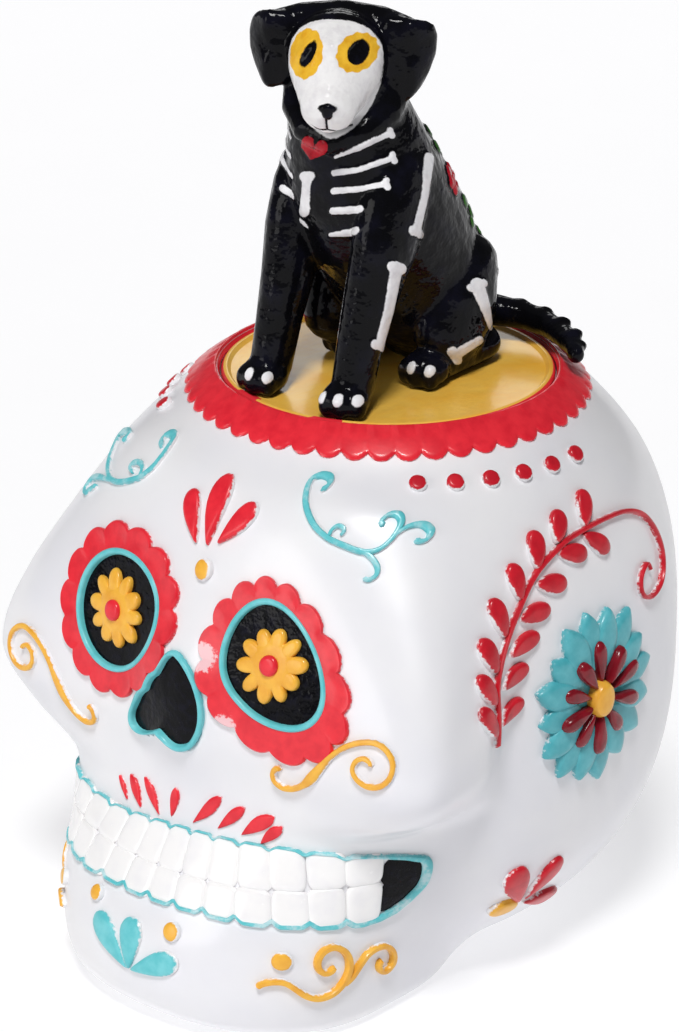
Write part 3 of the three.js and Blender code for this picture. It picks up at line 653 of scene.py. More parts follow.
def press_pockets(points):
    """Presses the eye sockets and the nose into the skin, inside the borders that the rings will cover"""
    x, y, z = points.T
    eyes = np.maximum(*[smooth_step(in_egg(side, x, z, 0.6), 1.0, 0.94) for side in (1, -1)])
    nose = smooth_step(in_heart(x, z, 0.3), 1.0, 0.9)
    share = np.maximum(eyes, nose) * (y < -40)
    return points - skull_normal(points) * (POCKET_DEPTH * share)[:, None]


def make_skull(material):
    """The jar: a ball whose rows and columns of corners are carried to the rings"""
    rings = skull_rings()
    outer = press_pockets(np.vstack(rings[:OUTER_ROWS - 1]))
    outer[:, 2] = np.maximum(outer[:, 2], 0)
    laid = np.vstack([outer, *rings[OUTER_ROWS - 1:]])
    count = len(rings)
    all_off()
    bpy.ops.mesh.primitive_uv_sphere_add(segments=SKULL_COLUMNS, ring_count=count + 1, radius=1)
    skull = bpy.context.active_object
    x, y, z = coords(skull).T * MM
    polar = np.arccos(np.clip(-z, -1, 1))
    row = np.rint(polar / (math.pi / (count + 1))).astype(int)
    around = np.arctan2(x, -y)
    column = np.rint((around + math.pi) / (2 * math.pi / SKULL_COLUMNS)).astype(int) % SKULL_COLUMNS
    points = np.empty((len(x), 3))
    middle = (row > 0) & (row <= count)
    points[middle] = laid[(row[middle] - 1) * SKULL_COLUMNS + column[middle]]
    points[row == 0] = [0, CORE[1], 0]
    points[row == count + 1] = [0, CORE[1], WALL - BASE_GROUND_OFF]
    put_coords(skull, points)
    face_outwards(skull)
    finish_piece(skull, "skull", material, sharp=50)
    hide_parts("skull_jar")


# Raised ornaments: modelled flat, in the millimetres of a view, and then laid on the skin

FOOT_SINK = 1.3  # how far an ornament's foot goes into the skin
# Nearness to the rim runs from 0 at the top of a lump, by 1 where its side begins, to this at its foot
AT_FOOT = 1.25
# How near the rim paint comes
ON_TOP = 0.92
NEARLY_DOWN = 1.08
TO_THE_SKIN = 1.2
ALL_OVER = 1.3
PAINT_FALL = 0.6  # how steeply paint thins out towards there
# Steps by which a lump rises from its foot: share of its outline, share of its height, nearness to the rim
RISE = ((1.0, 0.4, 1.1), (0.95, 0.7, 1.0), (0.84, 0.89, 0.86), (0.62, 0.98, 0.62), (0.34, 1.0, 0.3))


def get_values(obj, name):
    values = np.empty(len(obj.data.vertices))
    obj.data.attributes[name].data.foreach_get("value", values)
    return values


def put_values(obj, name, values):
    attribute = obj.data.attributes.get(name) or obj.data.attributes.new(name, "FLOAT", "POINT")
    attribute.data.foreach_set("value", np.asarray(values, dtype=float))


def cushion(outline, name):
    """A lump one unit long, as a mould gives it: its side stands up and its top rounds over"""
    count = len(outline)
    all_off()
    bpy.ops.mesh.primitive_circle_add(vertices=count, radius=1, fill_type="NGON")
    lump = bpy.context.active_object
    put_coords(lump, np.column_stack([outline, np.full(count, -1.0)]))
    middle = (*(outline.mean(axis=0) * MM), 0)
    size, level = 1.0, -1.0
    with editing(lump):
        for share, lift, _ in RISE:
            climb = (0, 0, (lift - level) * MM)
            bpy.ops.mesh.extrude_region_move(TRANSFORM_OT_translate={"value": climb})
            bpy.ops.transform.resize(value=(share / size, share / size, 1), center_override=middle)
            size, level = share, lift
        bpy.ops.mesh.poke()
    face_outwards(lump)
    steps = np.array([(-1.0, AT_FOOT), *(step[1:] for step in RISE)])
    put_values(lump, "rim", np.interp(coords(lump)[:, 2], *steps.T))
    lump.name = name
    return lump


def sheet(points, rim=None, seam=False):
    """A strip of skin from rows of points; a seam closes it into a hoop"""
    rows, columns = points.shape[:2]
    all_off()
    bpy.ops.mesh.primitive_grid_add(x_subdivisions=columns - 1, y_subdivisions=rows - 1, size=1)
    strip = bpy.context.active_object
    put_coords(strip, points.reshape(-1, 3))
    if rim is not None:
        put_values(strip, "rim", rim.ravel())
    if seam:
        with editing(strip):
            bpy.ops.mesh.remove_doubles(threshold=0.001 * MM)
    return strip


def closed_sheet(columns, side=1, rim=None):
    """A hoop or disc of skin from closed outlines inside each other, turned over for the right side"""
    return sheet(np.stack(columns, axis=1)[::side], rim, seam=True)


def painted_to(obj, reach=NEARLY_DOWN, slide=0.0):
    """Sets how far down from the top of a lump its paint comes"""
    put_values(obj, "paint", 1 - PAINT_FALL * (get_values(obj, "rim") / reach + slide))
    return obj


def lay(master, places, height, base=0.0, reach=NEARLY_DOWN, slip=(0.0, 0.0)):
    """Copies of a lump, each from a foot to a tip and of its own width and share of the height

    The paint comes down by reach, and slips off the lump by slip across and up.
    """
    unit = coords(master)
    copies = []
    for u0, v0, u1, v1, width, *own in places:
        along = np.array([u1 - u0, v1 - v0])
        across = np.array([along[1], -along[0]]) / np.hypot(*along) * width
        flat = np.array([u0, v0]) + np.outer(unit[:, 1], along) + np.outer(unit[:, 0], across)
        tall = height * (own[0] if own else 1)
        lift = base + np.where(unit[:, 2] > 0, unit[:, 2] * tall, -FOOT_SINK)
        copy = master.copy()
        copy.data = master.data.copy()
        bpy.context.collection.objects.link(copy)
        put_coords(copy, np.column_stack([flat, lift]))
        way = flat - flat.mean(axis=0)
        way = way / (np.hypot(*way.T)[:, None] + 1e-6)
        painted_to(copy, reach, way @ np.array(slip))
        copies.append(copy)
    return copies


def dot_places(dots):
    """Places of round lumps with a middle, a radius and at times a share of the height"""
    return [(u, v - r, u, v + r, 2 * r, *own) for u, v, r, *own in dots]


def spline(knots, spacing):
    """Points at even steps along a smooth curve through the knots, whose further columns run along"""
    knots = np.asarray(knots, dtype=float)
    padded = np.vstack([2 * knots[0] - knots[1], knots, 2 * knots[-1] - knots[-2]])
    t = np.linspace(0, 1, 12, endpoint=False)[:, None]
    fine = []
    for a, b, c, d in zip(padded, padded[1:], padded[2:], padded[3:]):
        bend = (2 * a - 5 * b + 4 * c - d) * t**2
        twist = (3 * b - a - 3 * c + d) * t**3
        fine.append(0.5 * (2 * b + (c - a) * t + bend + twist))
    fine = np.vstack([*fine, knots[-1:]])
    run = np.concatenate([[0], np.cumsum(np.hypot(*np.diff(fine[:, :2], axis=0).T))])
    even = np.linspace(0, run[-1], max(int(run[-1] / spacing), 6) + 1)
    return np.column_stack([np.interp(even, run, fine[:, k]) for k in range(fine.shape[1])])


# Section of a piped line: across, share of the height, or -9 at its foot, and nearness to the rim
HALF_PIPED = [(-1, -9, AT_FOOT), (-1, 0.34, 1.1), (-0.9, 0.68, 1), (-0.62, 0.92, 0.7)]
PIPED = np.array([*HALF_PIPED, (0, 1, 0.1), *((-x, lift, rim) for x, lift, rim in reversed(HALF_PIPED))])


def ribbon(knots, height, spacing=0.6, reach=NEARLY_DOWN, slip=(0.0, 0.0)):
    """A piped line of clay through knots of u, v and width, with round ends"""
    path = spline(knots, spacing)
    along = np.gradient(path[:, :2], axis=0)
    along /= np.hypot(*along.T)[:, None]
    across = np.column_stack([along[:, 1], -along[:, 0]])
    step = np.hypot(*np.diff(path[:, :2], axis=0).T)
    run = np.concatenate([[0], np.cumsum(step)])
    half = path[:, 2] / 2
    near = np.clip(np.minimum(run, run[-1] - run) / half, 0, 1)
    full = np.sqrt(1 - (1 - near) ** 2)
    flat = path[:, None, :2] + across[:, None, :] * (half * full)[:, None, None] * PIPED[None, :, 0:1]
    tall = height * (0.4 + 0.6 * full[:, None])
    lift = np.where(PIPED[:, 1] > -1, tall * PIPED[:, 1], -FOOT_SINK)
    rim = np.maximum(np.tile(PIPED[:, 2], (len(path), 1)), (1.1 - full)[:, None])
    line = sheet(np.dstack([flat, lift]), rim)
    slide = np.outer(across @ np.array(slip), PIPED[:, 0]).ravel()
    return painted_to(line, reach, slide)


def hoop(outline, inner, outer, section, steps=150, side=1, reach=NEARLY_DOWN):
    """A band round an outline, between two margins, with a section of across, lift in mm and rim"""
    turn = np.linspace(0, 2 * math.pi, steps + 1)
    columns = []
    for across, lift, _ in section:
        u, v = outline(turn, inner + (outer - inner) * across)
        columns.append(np.column_stack([u, v, np.full(len(turn), float(lift))]))
    rim = np.tile([row[2] for row in section], (len(turn), 1))
    return painted_to(closed_sheet(columns, side, rim), reach)


def floor_pad(outline, margin, edge_lift, dish, steps=96, side=1):
    """The glazed floor of a socket, dished towards its middle"""
    turn = np.linspace(0, 2 * math.pi, steps + 1)
    edge = np.column_stack(outline(turn, margin))
    middle = edge[:-1].mean(axis=0)
    columns = []
    for share in (0, 0.2, 0.4, 0.6, 0.8, 0.93, 1):
        lift = edge_lift - dish * (1 - share**2)
        columns.append(np.column_stack([middle + (edge - middle) * share, np.full(len(turn), lift)]))
    return closed_sheet(columns, side)


def gather(parts, view, name, material):
    """Joins ornaments of one finish and lays them on the skin"""
    joined = join(parts)
    flat = coords(joined)
    put_coords(joined, on_skull(view, flat[:, 0], flat[:, 1], flat[:, 2]))
    finish_piece(joined, name, material, sharp=38)


def turned_over(rows, side):
    """Rows of u and v, or of foot, tip and width, as they are on the given side"""
    flip = [side, 1, side, 1] if len(rows[0]) > 3 else [side, 1]
    turned = len(flip)
    return [(*(np.array(row[:turned]) * flip), *row[turned:]) for row in rows]


def unit_outline(shape, count=28):
    """Outline of a lump one unit long and wide, from its foot at 0 to its tip at 1"""
    turn = np.linspace(0, 2 * math.pi, count, endpoint=False)
    v = (1 - np.cos(turn)) / 2
    half = np.abs(np.sin(turn)) * shape(v)
    return np.column_stack([np.sign(np.sin(turn)) * half / half.max() / 2, v])[::-1]


def make_masters():
    """The lumps that repeat, each modelled once: it is copied for every place and then removed"""
    t = np.linspace(0, 2 * math.pi, 32, endpoint=False)
    round_square = np.sign([np.cos(t), np.sin(t)]) * np.abs([np.cos(t), np.sin(t)]) ** 0.45
    square = 0.5 * round_square.T + [0, 0.5]
    return {
        "dot": cushion(unit_outline(lambda v: np.ones_like(v)), "master_dot"),
        "leaf": cushion(unit_outline(lambda v: 0.62 + 0.5 * v), "master_leaf"),
        "petal": cushion(unit_outline(lambda v: 0.28 + v), "master_petal"),
        "pointed": cushion(unit_outline(lambda v: (0.5 + v) * (1.02 - v) ** 0.42), "master_pointed"),
        "flame": cushion(unit_outline(lambda v: (v * (1 - v)) ** 0.3 * (0.6 + v)), "master_flame"),
        "tooth": cushion(square, "master_tooth"),
    }


def put_on(finishes, finish, view, name, kind, places, height, **how):
    """Lumps of one kind, copied to their places and laid on the skin as one piece"""
    gather(lay(finishes["masters"][kind], places, height, **how), view, name, finishes[finish])


# Eyes and nose

# Sections, each from the inner margin to the outer: across, lift in mm and nearness to the rim
FRILL_SECTION = (
    (0, -2.6, 0.5), (0.02, 0.9, 0.5), (0.3, 1.0, 0.5), (0.6, 1.05, 0.5), (0.84, 1.45, 0.6), (0.94, 1.5, 0.9),
    (0.985, 1.1, 1.0), (1, 0.5, 1.1), (1, -FOOT_SINK, AT_FOOT),
)
EYE_RING_SECTION = (
    (0, -2.6, AT_FOOT), (0, 0.8, 1.0), (0.12, 1.2, 0.8), (0.35, 1.5, 0.4), (0.65, 1.5, 0.4),
    (0.88, 1.3, 0.8), (1, 0.9, 1.0), (1, 0.2, AT_FOOT),
)
NOSE_RING_SECTION = (
    (0, -2.6, AT_FOOT), (0, 0.7, 1.0), (0.12, 1.2, 0.8), (0.35, 1.5, 0.4), (0.65, 1.5, 0.4),
    (0.9, 1.2, 0.8), (1, 0.7, 1.0), (1, -FOOT_SINK, AT_FOOT),
)
FRILL_LOBES = 14
FRILL_WIDTH = 5.0
FRILL_LOBE_DEPTH = 2.9
WORN_LOBES = ((8.4, 117.3, 6), (18, 97.6, 6))  # middle and radius of the rubbed paint on the left frill
DAISY = {"x": 30.9, "z": 119.7, "petals": 10, "reach": 11.6, "width": 4.7, "disc": 7.8, "heart": 3.1}


def eye_frill(side, outline):
    """The scalloped frill round an eye, wider below than above"""
    turn = np.linspace(0, 2 * math.pi, 261)
    lobe = np.abs(np.sin(FRILL_LOBES * (turn - 0.12) / 2)) ** 0.62
    reach = FRILL_WIDTH - (1.9 if side > 0 else 0.2) * np.sin(turn)
    frill = hoop(outline, -1.0, reach + FRILL_LOBE_DEPTH * lobe, FRILL_SECTION, steps=260, side=side)
    flat = coords(frill)[:, :2]
    worn = np.zeros(len(flat))
    if side > 0:
        for u, v, size in WORN_LOBES:
            off = np.hypot(*(flat - [u, v]).T)
            worn = np.maximum(worn, smooth_step(off, size, size * 0.4))
    put_values(frill, "worn", worn)
    return frill


def eye_pieces(side, finishes):
    word = "left" if side > 0 else "right"

    def outline(turn, margin):
        return egg(side, turn, margin)

    gather([eye_frill(side, outline)], front_view, f"{word}_eye_frill", finishes["frill"])
    ring = hoop(outline, -1.7, 0.1, EYE_RING_SECTION, steps=130, side=side, reach=ALL_OVER)
    gather([ring], front_view, f"{word}_eye_ring", finishes["teal"])
    pad = floor_pad(outline, margin=-1.0, edge_lift=-0.4, dish=0.7, side=side)
    gather([pad], front_view, f"{word}_eye_socket", finishes["socket"])

    middle = np.array([side * DAISY["x"], DAISY["z"]])
    petals = []
    for i in range(DAISY["petals"]):
        turn = math.radians(36 * i + (12 if side > 0 else 0))
        out = np.array([math.cos(turn), math.sin(turn)])
        far = DAISY["reach"] * (1 + 0.07 * math.sin(5.3 * i + side))
        wide = DAISY["width"] + 0.5 * math.sin(2.9 * i + side)
        petals.append((*(middle + 1.5 * out), *(middle + far * out), wide))
    masters = finishes["masters"]
    daisy = lay(masters["leaf"], petals, 1.8, base=-0.9, reach=ALL_OVER)
    daisy += lay(masters["dot"], dot_places([(*middle, DAISY["disc"])]), 1.95, base=-0.9, reach=ALL_OVER)
    gather(daisy, front_view, f"{word}_eye_daisy", finishes["yellow"])
    put_on(finishes, "red", front_view, f"{word}_eye_daisy_heart", "dot",
           dot_places([(*middle, DAISY["heart"])]), 1.7, base=0.7, reach=ALL_OVER)


def nose_pieces(finishes):
    ring = hoop(heart, -1.6, 0.2, NOSE_RING_SECTION, steps=140, reach=ALL_OVER)
    gather([ring], front_view, "nose_ring", finishes["teal"])
    pad = floor_pad(heart, margin=-1.0, edge_lift=-0.6, dish=0.9, steps=140)
    gather([pad], front_view, "nose_socket", finishes["socket"])


# Mouth

TEETH = 14
MOUTH_HALF = 69.0
TOOTH_PITCH = 2 * MOUTH_HALF / TEETH
PARTING = {"z": 50.3, "rise": 1.8, "half_width": 55}  # where the rows of teeth meet, higher at both ends
UPPER_GUM = np.array([
    (-80.4, 50.5), (-79, 52.8), (-76, 54.6), (-70, 56.6), (-60, 58.8), (-46, 60.4), (-29, 60.0),
    (-12, 60.9), (0, 61.5), (14, 62.1), (30, 62.8), (44, 63.7), (56, 63.3), (67, 61.3), (74.6, 59),
    (79.2, 57), (80.6, 53.5),
])
LOWER_GUM = np.array([
    (-80.4, 51.5), (-79.5, 47), (-76.5, 43), (-70, 39.4), (-60, 38.9), (-46, 40.4), (-38.8, 41),
    (-28.8, 40.5), (-19, 41.4), (-6, 41.3), (7, 41.5), (16, 41.8), (32, 41.5), (46, 41), (57.6, 39.7),
    (64, 38.6), (69.4, 38.9), (73.9, 40.3), (77.1, 43), (79.7, 46.8), (80.6, 50.5),
])
# Width of the piped gum lines, against the distance along the jaw
UPPER_WIDTH = np.array([
    (-81, 2.4), (-74, 1.4), (-50, 0.8), (-20, 0.7), (10, 0.75), (45, 0.85), (66, 1.1), (76, 1.9), (81, 2.6),
])
LOWER_WIDTH = np.array([
    (-81, 2.4), (-70, 1.8), (-40, 1.1), (0, 1.1), (30, 1.3), (50, 1.8), (66, 2.4), (81, 2.6),
])
CUSPS = {"upper": -1.2, "lower": 1.5, "half_width": 2.2}  # points of gum between the teeth
MOUTH_CORNER = np.array([
    (70.6, 59.5), (77.6, 57.2), (79.6, 54), (79.2, 49), (77, 45), (73.5, 42), (69.6, 40.4), (69.8, 50),
])
CORNER_RISE = ((0, 0.5), (0.5, 0.55), (0.85, 0.6), (0.97, 0.4), (1, -FOOT_SINK))  # share out, and lift
# Strokes over the lip: foot, tip and width
LIP_STROKES = [
    (-24.5, 62.6, -31.2, 68.4, 1.5), (-17.2, 62.2, -26.2, 70.4, 3.4), (-7.6, 62.4, -19.2, 71.4, 3.2),
    (-1.6, 63.2, -1.9, 72.2, 4.6), (9.2, 63.7, 21.6, 74.3, 4.4), (20.6, 64.4, 31.2, 73.3, 3.8),
    (30, 64.6, 41.2, 73.4, 4.4), (36.6, 63.4, 43.4, 70.6, 3.4),
]


def along_jaw(curve, u):
    return np.interp(u, *curve.T)


def tooth_places():
    """Two rows of teeth, each tooth from the parting of the rows to its gum, a little uneven"""
    teeth = []
    for i in range(TEETH):
        u = -MOUTH_HALF + TOOTH_PITCH * (i + 0.5)
        parting = PARTING["z"] + PARTING["rise"] * min(abs(u) / PARTING["half_width"], 1) ** 2
        top = along_jaw(UPPER_GUM, u) + 0.3
        bottom = along_jaw(LOWER_GUM, u) - 0.2
        lean = 0.35 * math.sin(2.7 * i)
        wide = TOOTH_PITCH + (0.4 if u > 35 else 1.0)
        proud = 0.8 if u < 25 else 1
        upper_tall = proud + 0.06 * math.sin(4.1 * i)
        lower_tall = proud + 0.08 * math.sin(3.3 * i + 1)
        teeth.append((u + lean, parting - 0.3, u + lean * 0.4, top, wide, upper_tall))
        teeth.append((u - lean, parting + 0.3, u - lean * 0.3, bottom, wide, lower_tall))
    return teeth


def gum_cusp(u):
    """How near the parting of two teeth a place along the jaw is, from 0 to 1"""
    parting = (u + MOUTH_HALF) / TOOTH_PITCH
    off = np.abs(parting - np.rint(parting)) * TOOTH_PITCH
    return np.where(np.abs(u) < MOUTH_HALF - 3, np.clip(1 - off / CUSPS["half_width"], 0, 1), 0)


def mouth_corner(side):
    """The dark glaze between the last teeth and the gum line"""
    outline = MOUTH_CORNER * [side, 1]
    middle = outline.mean(axis=0)
    turn = np.linspace(0, 2 * math.pi, 49)
    edge = np.column_stack([np.cos(turn), np.sin(turn)]) * reach_round(outline, middle, turn)[:, None]
    columns = []
    for share, lift in CORNER_RISE:
        columns.append(np.column_stack([middle + edge * share, np.full(len(turn), lift)]))
    return closed_sheet(columns)


def mouth_pieces(finishes):
    put_on(finishes, "tooth", jaw_view, "teeth", "tooth", tooth_places(), 1.5)
    u = np.arange(-80.4, 80.5, 1.1)
    top = along_jaw(UPPER_GUM, u) + CUSPS["upper"] * gum_cusp(u)
    foot = along_jaw(LOWER_GUM, u) + CUSPS["lower"] * gum_cusp(u)
    loop = np.vstack([np.column_stack([u, top, along_jaw(UPPER_WIDTH, u)]),
                      np.column_stack([u, foot, along_jaw(LOWER_WIDTH, u)])[::-1]])
    gums = ribbon(loop, 1.5, spacing=0.7, reach=1.1)
    gather([gums], jaw_view, "gum_line", finishes["teal_worn"])
    gather([mouth_corner(side) for side in (-1, 1)], jaw_view, "mouth_corners", finishes["socket"])
    put_on(finishes, "red", jaw_view, "lip_strokes", "flame", LIP_STROKES, 1.1)


# Scrolls, petals and dots of the forehead, cheeks and chin

# Piped lines are given by places and widths, petals by foot, tip and width, and dots by place and radius

FOREHEAD_LINES = [
    [(28.8, 166.2, 1.2), (30.0, 167.4, 1.4), (28.6, 168.9, 1.5), (25.8, 169.2, 1.5), (24.2, 168.0, 1.5),
     (25.3, 165.8, 1.6), (28.2, 162.7, 1.6), (32.9, 159.0, 1.6), (38.0, 156.4, 1.5), (43.0, 155.0, 1.5),
     (48.3, 153.8, 1.5), (51.7, 154.4, 1.4), (53.3, 156.3, 1.4), (53.9, 158.9, 1.4), (53.4, 161.0, 1.4),
     (51.7, 162.4, 1.3), (49.8, 162.5, 1.2), (49.2, 161.0, 1.2), (50.4, 160.1, 1.1)],
    [(53.6, 157.8, 1.1), (55.6, 159.8, 1.3), (58.0, 159.9, 1.3), (60.4, 158.2, 1.3), (60.7, 156.4, 1.2),
     (59.3, 156.1, 1.2), (58.5, 157.0, 1.0)],
    [(38.1, 156.6, 1.0), (38.3, 158.5, 1.2), (39.5, 159.6, 1.2), (41.2, 159.0, 1.2), (41.5, 157.8, 1.1),
     (40.6, 157.7, 1.0)],
    [(46.6, 154.5, 1.0), (50.8, 152.7, 1.3), (53.6, 150.2, 1.4), (54.2, 148.2, 1.4), (52.9, 147.1, 1.3),
     (51.2, 147.4, 1.1)],
]
FAR_FOREHEAD_LINES = [
    [(-54.7, 158.8, 1.2), (-53.3, 160.2, 1.2), (-53.1, 160.9, 1.5), (-56.9, 160.0, 1.5), (-62.0, 157.4, 1.5),
     (-63.8, 155.5, 1.5), (-60.9, 155.3, 1.5), (-58.7, 154.2, 1.5), (-56.4, 152.9, 1.5), (-53.8, 151.9, 1.5),
     (-49.8, 151.2, 1.5), (-45.4, 151.9, 1.5), (-41.2, 153.4, 1.5), (-37.6, 155.1, 1.5), (-34.3, 156.9, 1.5),
     (-32.0, 159.0, 1.5), (-30.4, 161.0, 1.5), (-29.6, 163.3, 1.5), (-29.5, 165.2, 1.5), (-30.2, 166.8, 1.5),
     (-31.7, 167.4, 1.5), (-33.6, 167.1, 1.5), (-34.5, 166.2, 1.2), (-33.8, 165.2, 1.2), (-32.3, 164.9, 1.2)],
    [(-34.8, 156.4, 1.2), (-34.8, 158.4, 1.2), (-36.4, 159.4, 1.5), (-39.1, 159.2, 1.5), (-41.1, 158.0, 1.2),
     (-41.2, 156.9, 1.2), (-39.0, 156.5, 1.2)],
    [(-49.0, 151.2, 1.2), (-53.1, 150.0, 1.2), (-57.5, 148.7, 1.5), (-61.4, 146.8, 1.5), (-63.0, 144.9, 1.5),
     (-63.0, 143.3, 1.5), (-61.0, 143.2, 1.2), (-58.8, 145.0, 1.2), (-56.6, 146.8, 1.2)],
]
CHEEK_LINE = [
    (38.9, 90.2, 1.4), (37.0, 90.0, 1.8), (35.9, 88.0, 1.8), (36.6, 85.7, 1.8), (39.4, 84.4, 1.8),
    (43.1, 85.1, 1.8), (46.6, 87.3, 2.2), (49.8, 90.6, 3.4), (53.2, 95.2, 2.6), (56.1, 99.0, 1.8),
    (59.9, 102.4, 1.8), (64.2, 104.7, 1.8), (68.9, 105.7, 1.8), (72.5, 104.8, 1.8), (75.2, 102.2, 1.8),
    (76.0, 99.2, 1.8), (75.2, 96.2, 1.8), (72.7, 93.7, 1.8), (69.3, 93.0, 1.8), (65.9, 94.1, 1.8),
    (63.9, 96.5, 1.8), (64.3, 99.2, 1.7), (66.5, 100.7, 1.6), (68.8, 100.2, 1.5), (69.6, 98.8, 1.4),
]
CHIN_LINES = [
    [(35.4, 22.6, 1.5), (36.9, 24.0, 1.9), (39.9, 24.6, 1.9), (42.7, 24.0, 1.9), (45.0, 21.9, 1.9),
     (47.6, 19.2, 2.0), (50.6, 17.5, 2.1), (53.6, 17.5, 2.1), (56.2, 18.8, 2.1), (58.5, 21.4, 2.1),
     (59.7, 24.6, 2.1), (59.6, 28.2, 2.1), (58.2, 31.3, 2.1), (55.5, 33.5, 2.1), (52.7, 33.0, 2.1),
     (51.0, 30.6, 2.0), (51.0, 27.6, 2.0), (52.6, 25.6, 1.9), (54.4, 25.8, 1.8), (55.4, 27.2, 1.7)],
    [(57.8, 19.8, 1.7), (60.4, 21.7, 2.0), (62.9, 24.8, 2.0), (65.5, 27.6, 2.0), (68.8, 28.7, 2.0),
     (72.3, 27.7, 2.0), (74.9, 24.2, 2.0), (75.2, 20.6, 2.0), (73.2, 18.7, 1.9), (71.0, 19.2, 1.8),
     (69.9, 21.6, 1.7), (70.6, 23.8, 1.5)],
]
CHIN_DOTS = [(41.9, 31.0, 2.8), (-38.5, 31.4, 2.6), (11.3, 34.9, 2.7), (-18.4, 36.6, 2.4)]
CHIN_PETALS = [(-2.2, 19.2, -16.6, 31.4, 7.8), (-1.9, 19.2, -2.6, 35.0, 7.8), (-1.2, 19.2, 14.0, 27.2, 7.4)]
BROW_PETALS = [
    (0.8, 147.4, -1.2, 165.6, 7.4), (4.4, 148.8, 13.4, 160.9, 6.2), (-3.4, 147.0, -11.6, 159.7, 6.0),
]
BROW_DOT = (1.9, 140.8, 3.1)
FAR_CHEEK_LOWERED = 3  # the scroll on the right cheek sits this much lower


def face_pieces(finishes):
    slip = (0.14, 0.05)
    put_on(finishes, "red", front_view, "brow_petals", "petal", BROW_PETALS, 1.9, slip=slip)
    put_on(finishes, "yellow", front_view, "brow_dot", "dot", dot_places([BROW_DOT]), 1.9, reach=ON_TOP,
           slip=(0.22, 0.04))
    for side, word, forehead_lines in ((1, "left", FOREHEAD_LINES), (-1, "right", FAR_FOREHEAD_LINES)):
        forehead = [ribbon(line, 1.4, spacing=0.5, slip=slip) for line in forehead_lines]
        gather(forehead, front_view, f"{word}_forehead_scroll", finishes["teal_scroll"])
        lowered = 0 if side > 0 else FAR_CHEEK_LOWERED
        cheek = [(u, v - lowered, width) for u, v, width in turned_over(CHEEK_LINE, side)]
        gather([ribbon(cheek, 1.8, slip=slip)], front_view, f"{word}_cheek_scroll", finishes["yellow"])
        chin = [ribbon(turned_over(line, side), 2.0, slip=slip) for line in CHIN_LINES]
        gather(chin, jaw_view, f"{word}_chin_scroll", finishes["yellow"])
    put_on(finishes, "teal", jaw_view, "chin_flower", "petal", CHIN_PETALS, 1.5, slip=slip)
    put_on(finishes, "yellow", jaw_view, "chin_dots", "dot", dot_places(CHIN_DOTS), 1.7, reach=0.95,
           slip=(0.2, 0.02))


# Crown

BAND = {"inner": 52.6, "outer": 62.4, "tooth": 1.9, "teeth": 48}
BAND_SECTION = (
    (0, -1.6, 0.8), (0, 0.9, 0.6), (0.04, 1.2, 0.5), (0.45, 1.1, 0.4), (0.85, 1.2, 0.5), (0.95, 1.05, 0.9),
    (1, 0.6, 1.05), (1, -FOOT_SINK, AT_FOOT),
)
CROWN_DOTS = {"radius": 68.6, "size": 2.75, "first": 43.3, "step": 9.4, "count": 6}


def crown_pieces(finishes):
    def circle(turn, margin):
        return margin * np.cos(turn), margin * np.sin(turn)

    turn = np.linspace(0, 2 * math.pi, 481)
    off = np.abs(np.mod(BAND["teeth"] * turn / (2 * math.pi) + 0.5, 1) - 0.5) * 2
    edge = BAND["outer"] - BAND["tooth"] * off**2.2
    band = hoop(circle, BAND["inner"], edge, BAND_SECTION, steps=480)
    gather([band], top_view, "crown_band", finishes["red"])
    dots = []
    radius, size = CROWN_DOTS["radius"], CROWN_DOTS["size"]
    for i in range(CROWN_DOTS["count"]):
        turn = math.radians(CROWN_DOTS["step"] * i - CROWN_DOTS["first"])
        for way in (np.array([math.cos(turn), math.sin(turn)]), np.array([-math.cos(turn), math.sin(turn)])):
            skin = on_skull(top_view, way[:1] * radius, way[1:] * radius, [0])
            seen = size * skull_normal(skin)[0, 2]  # on the slope a dot looks shorter from above
            dots.append((*(way * (radius - seen)), *(way * (radius + seen)), 2 * size))
    put_on(finishes, "crimson", top_view, "crown_dots", "dot", dots, 1.8, reach=ON_TOP, slip=(0.1, 0.12))


# Temples and sides

STEM = [
    (-54.2, 96.2, 1.2), (-53.4, 105, 1.5), (-52.6, 114.8, 1.5), (-47.3, 123.3, 1.6), (-37.8, 133.5, 1.6),
    (-28.1, 142.0, 1.6), (-16.3, 147.0, 1.6), (-5.9, 148.4, 1.6), (6.7, 148.4, 1.5), (16.8, 146.9, 1.4),
    (24.9, 142.8, 1.4), (30.6, 135.1, 1.4), (32.1, 127.2, 1.4), (28.4, 121, 1.3), (20.6, 119.3, 1.3),
    (15.6, 122.5, 1.2), (16.0, 127.3, 1.2), (20.4, 129.9, 1.1), (22.4, 127.0, 1.0),
]
STEM_LEAVES = [
    (-5.6, 149.0, 0.2, 158.0, 5.9), (-18.5, 147.9, -12.5, 155.7, 5.8), (-27.8, 142.8, -24.2, 153.0, 5.9),
    (-36.4, 135.9, -35.8, 146.5, 6.1), (-45.2, 127.5, -46.4, 139.1, 6.4), (-51.7, 118.9, -54.9, 129.7, 6.6),
    (-54.6, 110.1, -60.0, 120.5, 6.1), (-55.7, 100.9, -62.3, 111.7, 5.8), (-6.8, 147.1, 2.8, 140.1, 5.9),
    (-19.1, 145.1, -7.5, 142.1, 5.8), (-29.5, 138.5, -18.3, 136.5, 5.9), (-38.1, 130.4, -26.1, 131.0, 5.8),
    (-44.4, 121.1, -31.2, 124.3, 5.6), (-49.6, 112.7, -35.8, 115.5, 5.6), (-50.8, 101.6, -37.8, 105.2, 5.3),
]
FLOWER_MIDDLE = (-10.0, 98)
FLOWER_PAD = (*FLOWER_MIDDLE, 15)
FLOWER_HEART = (-10.0, 92, -10.0, 104, 9.2)
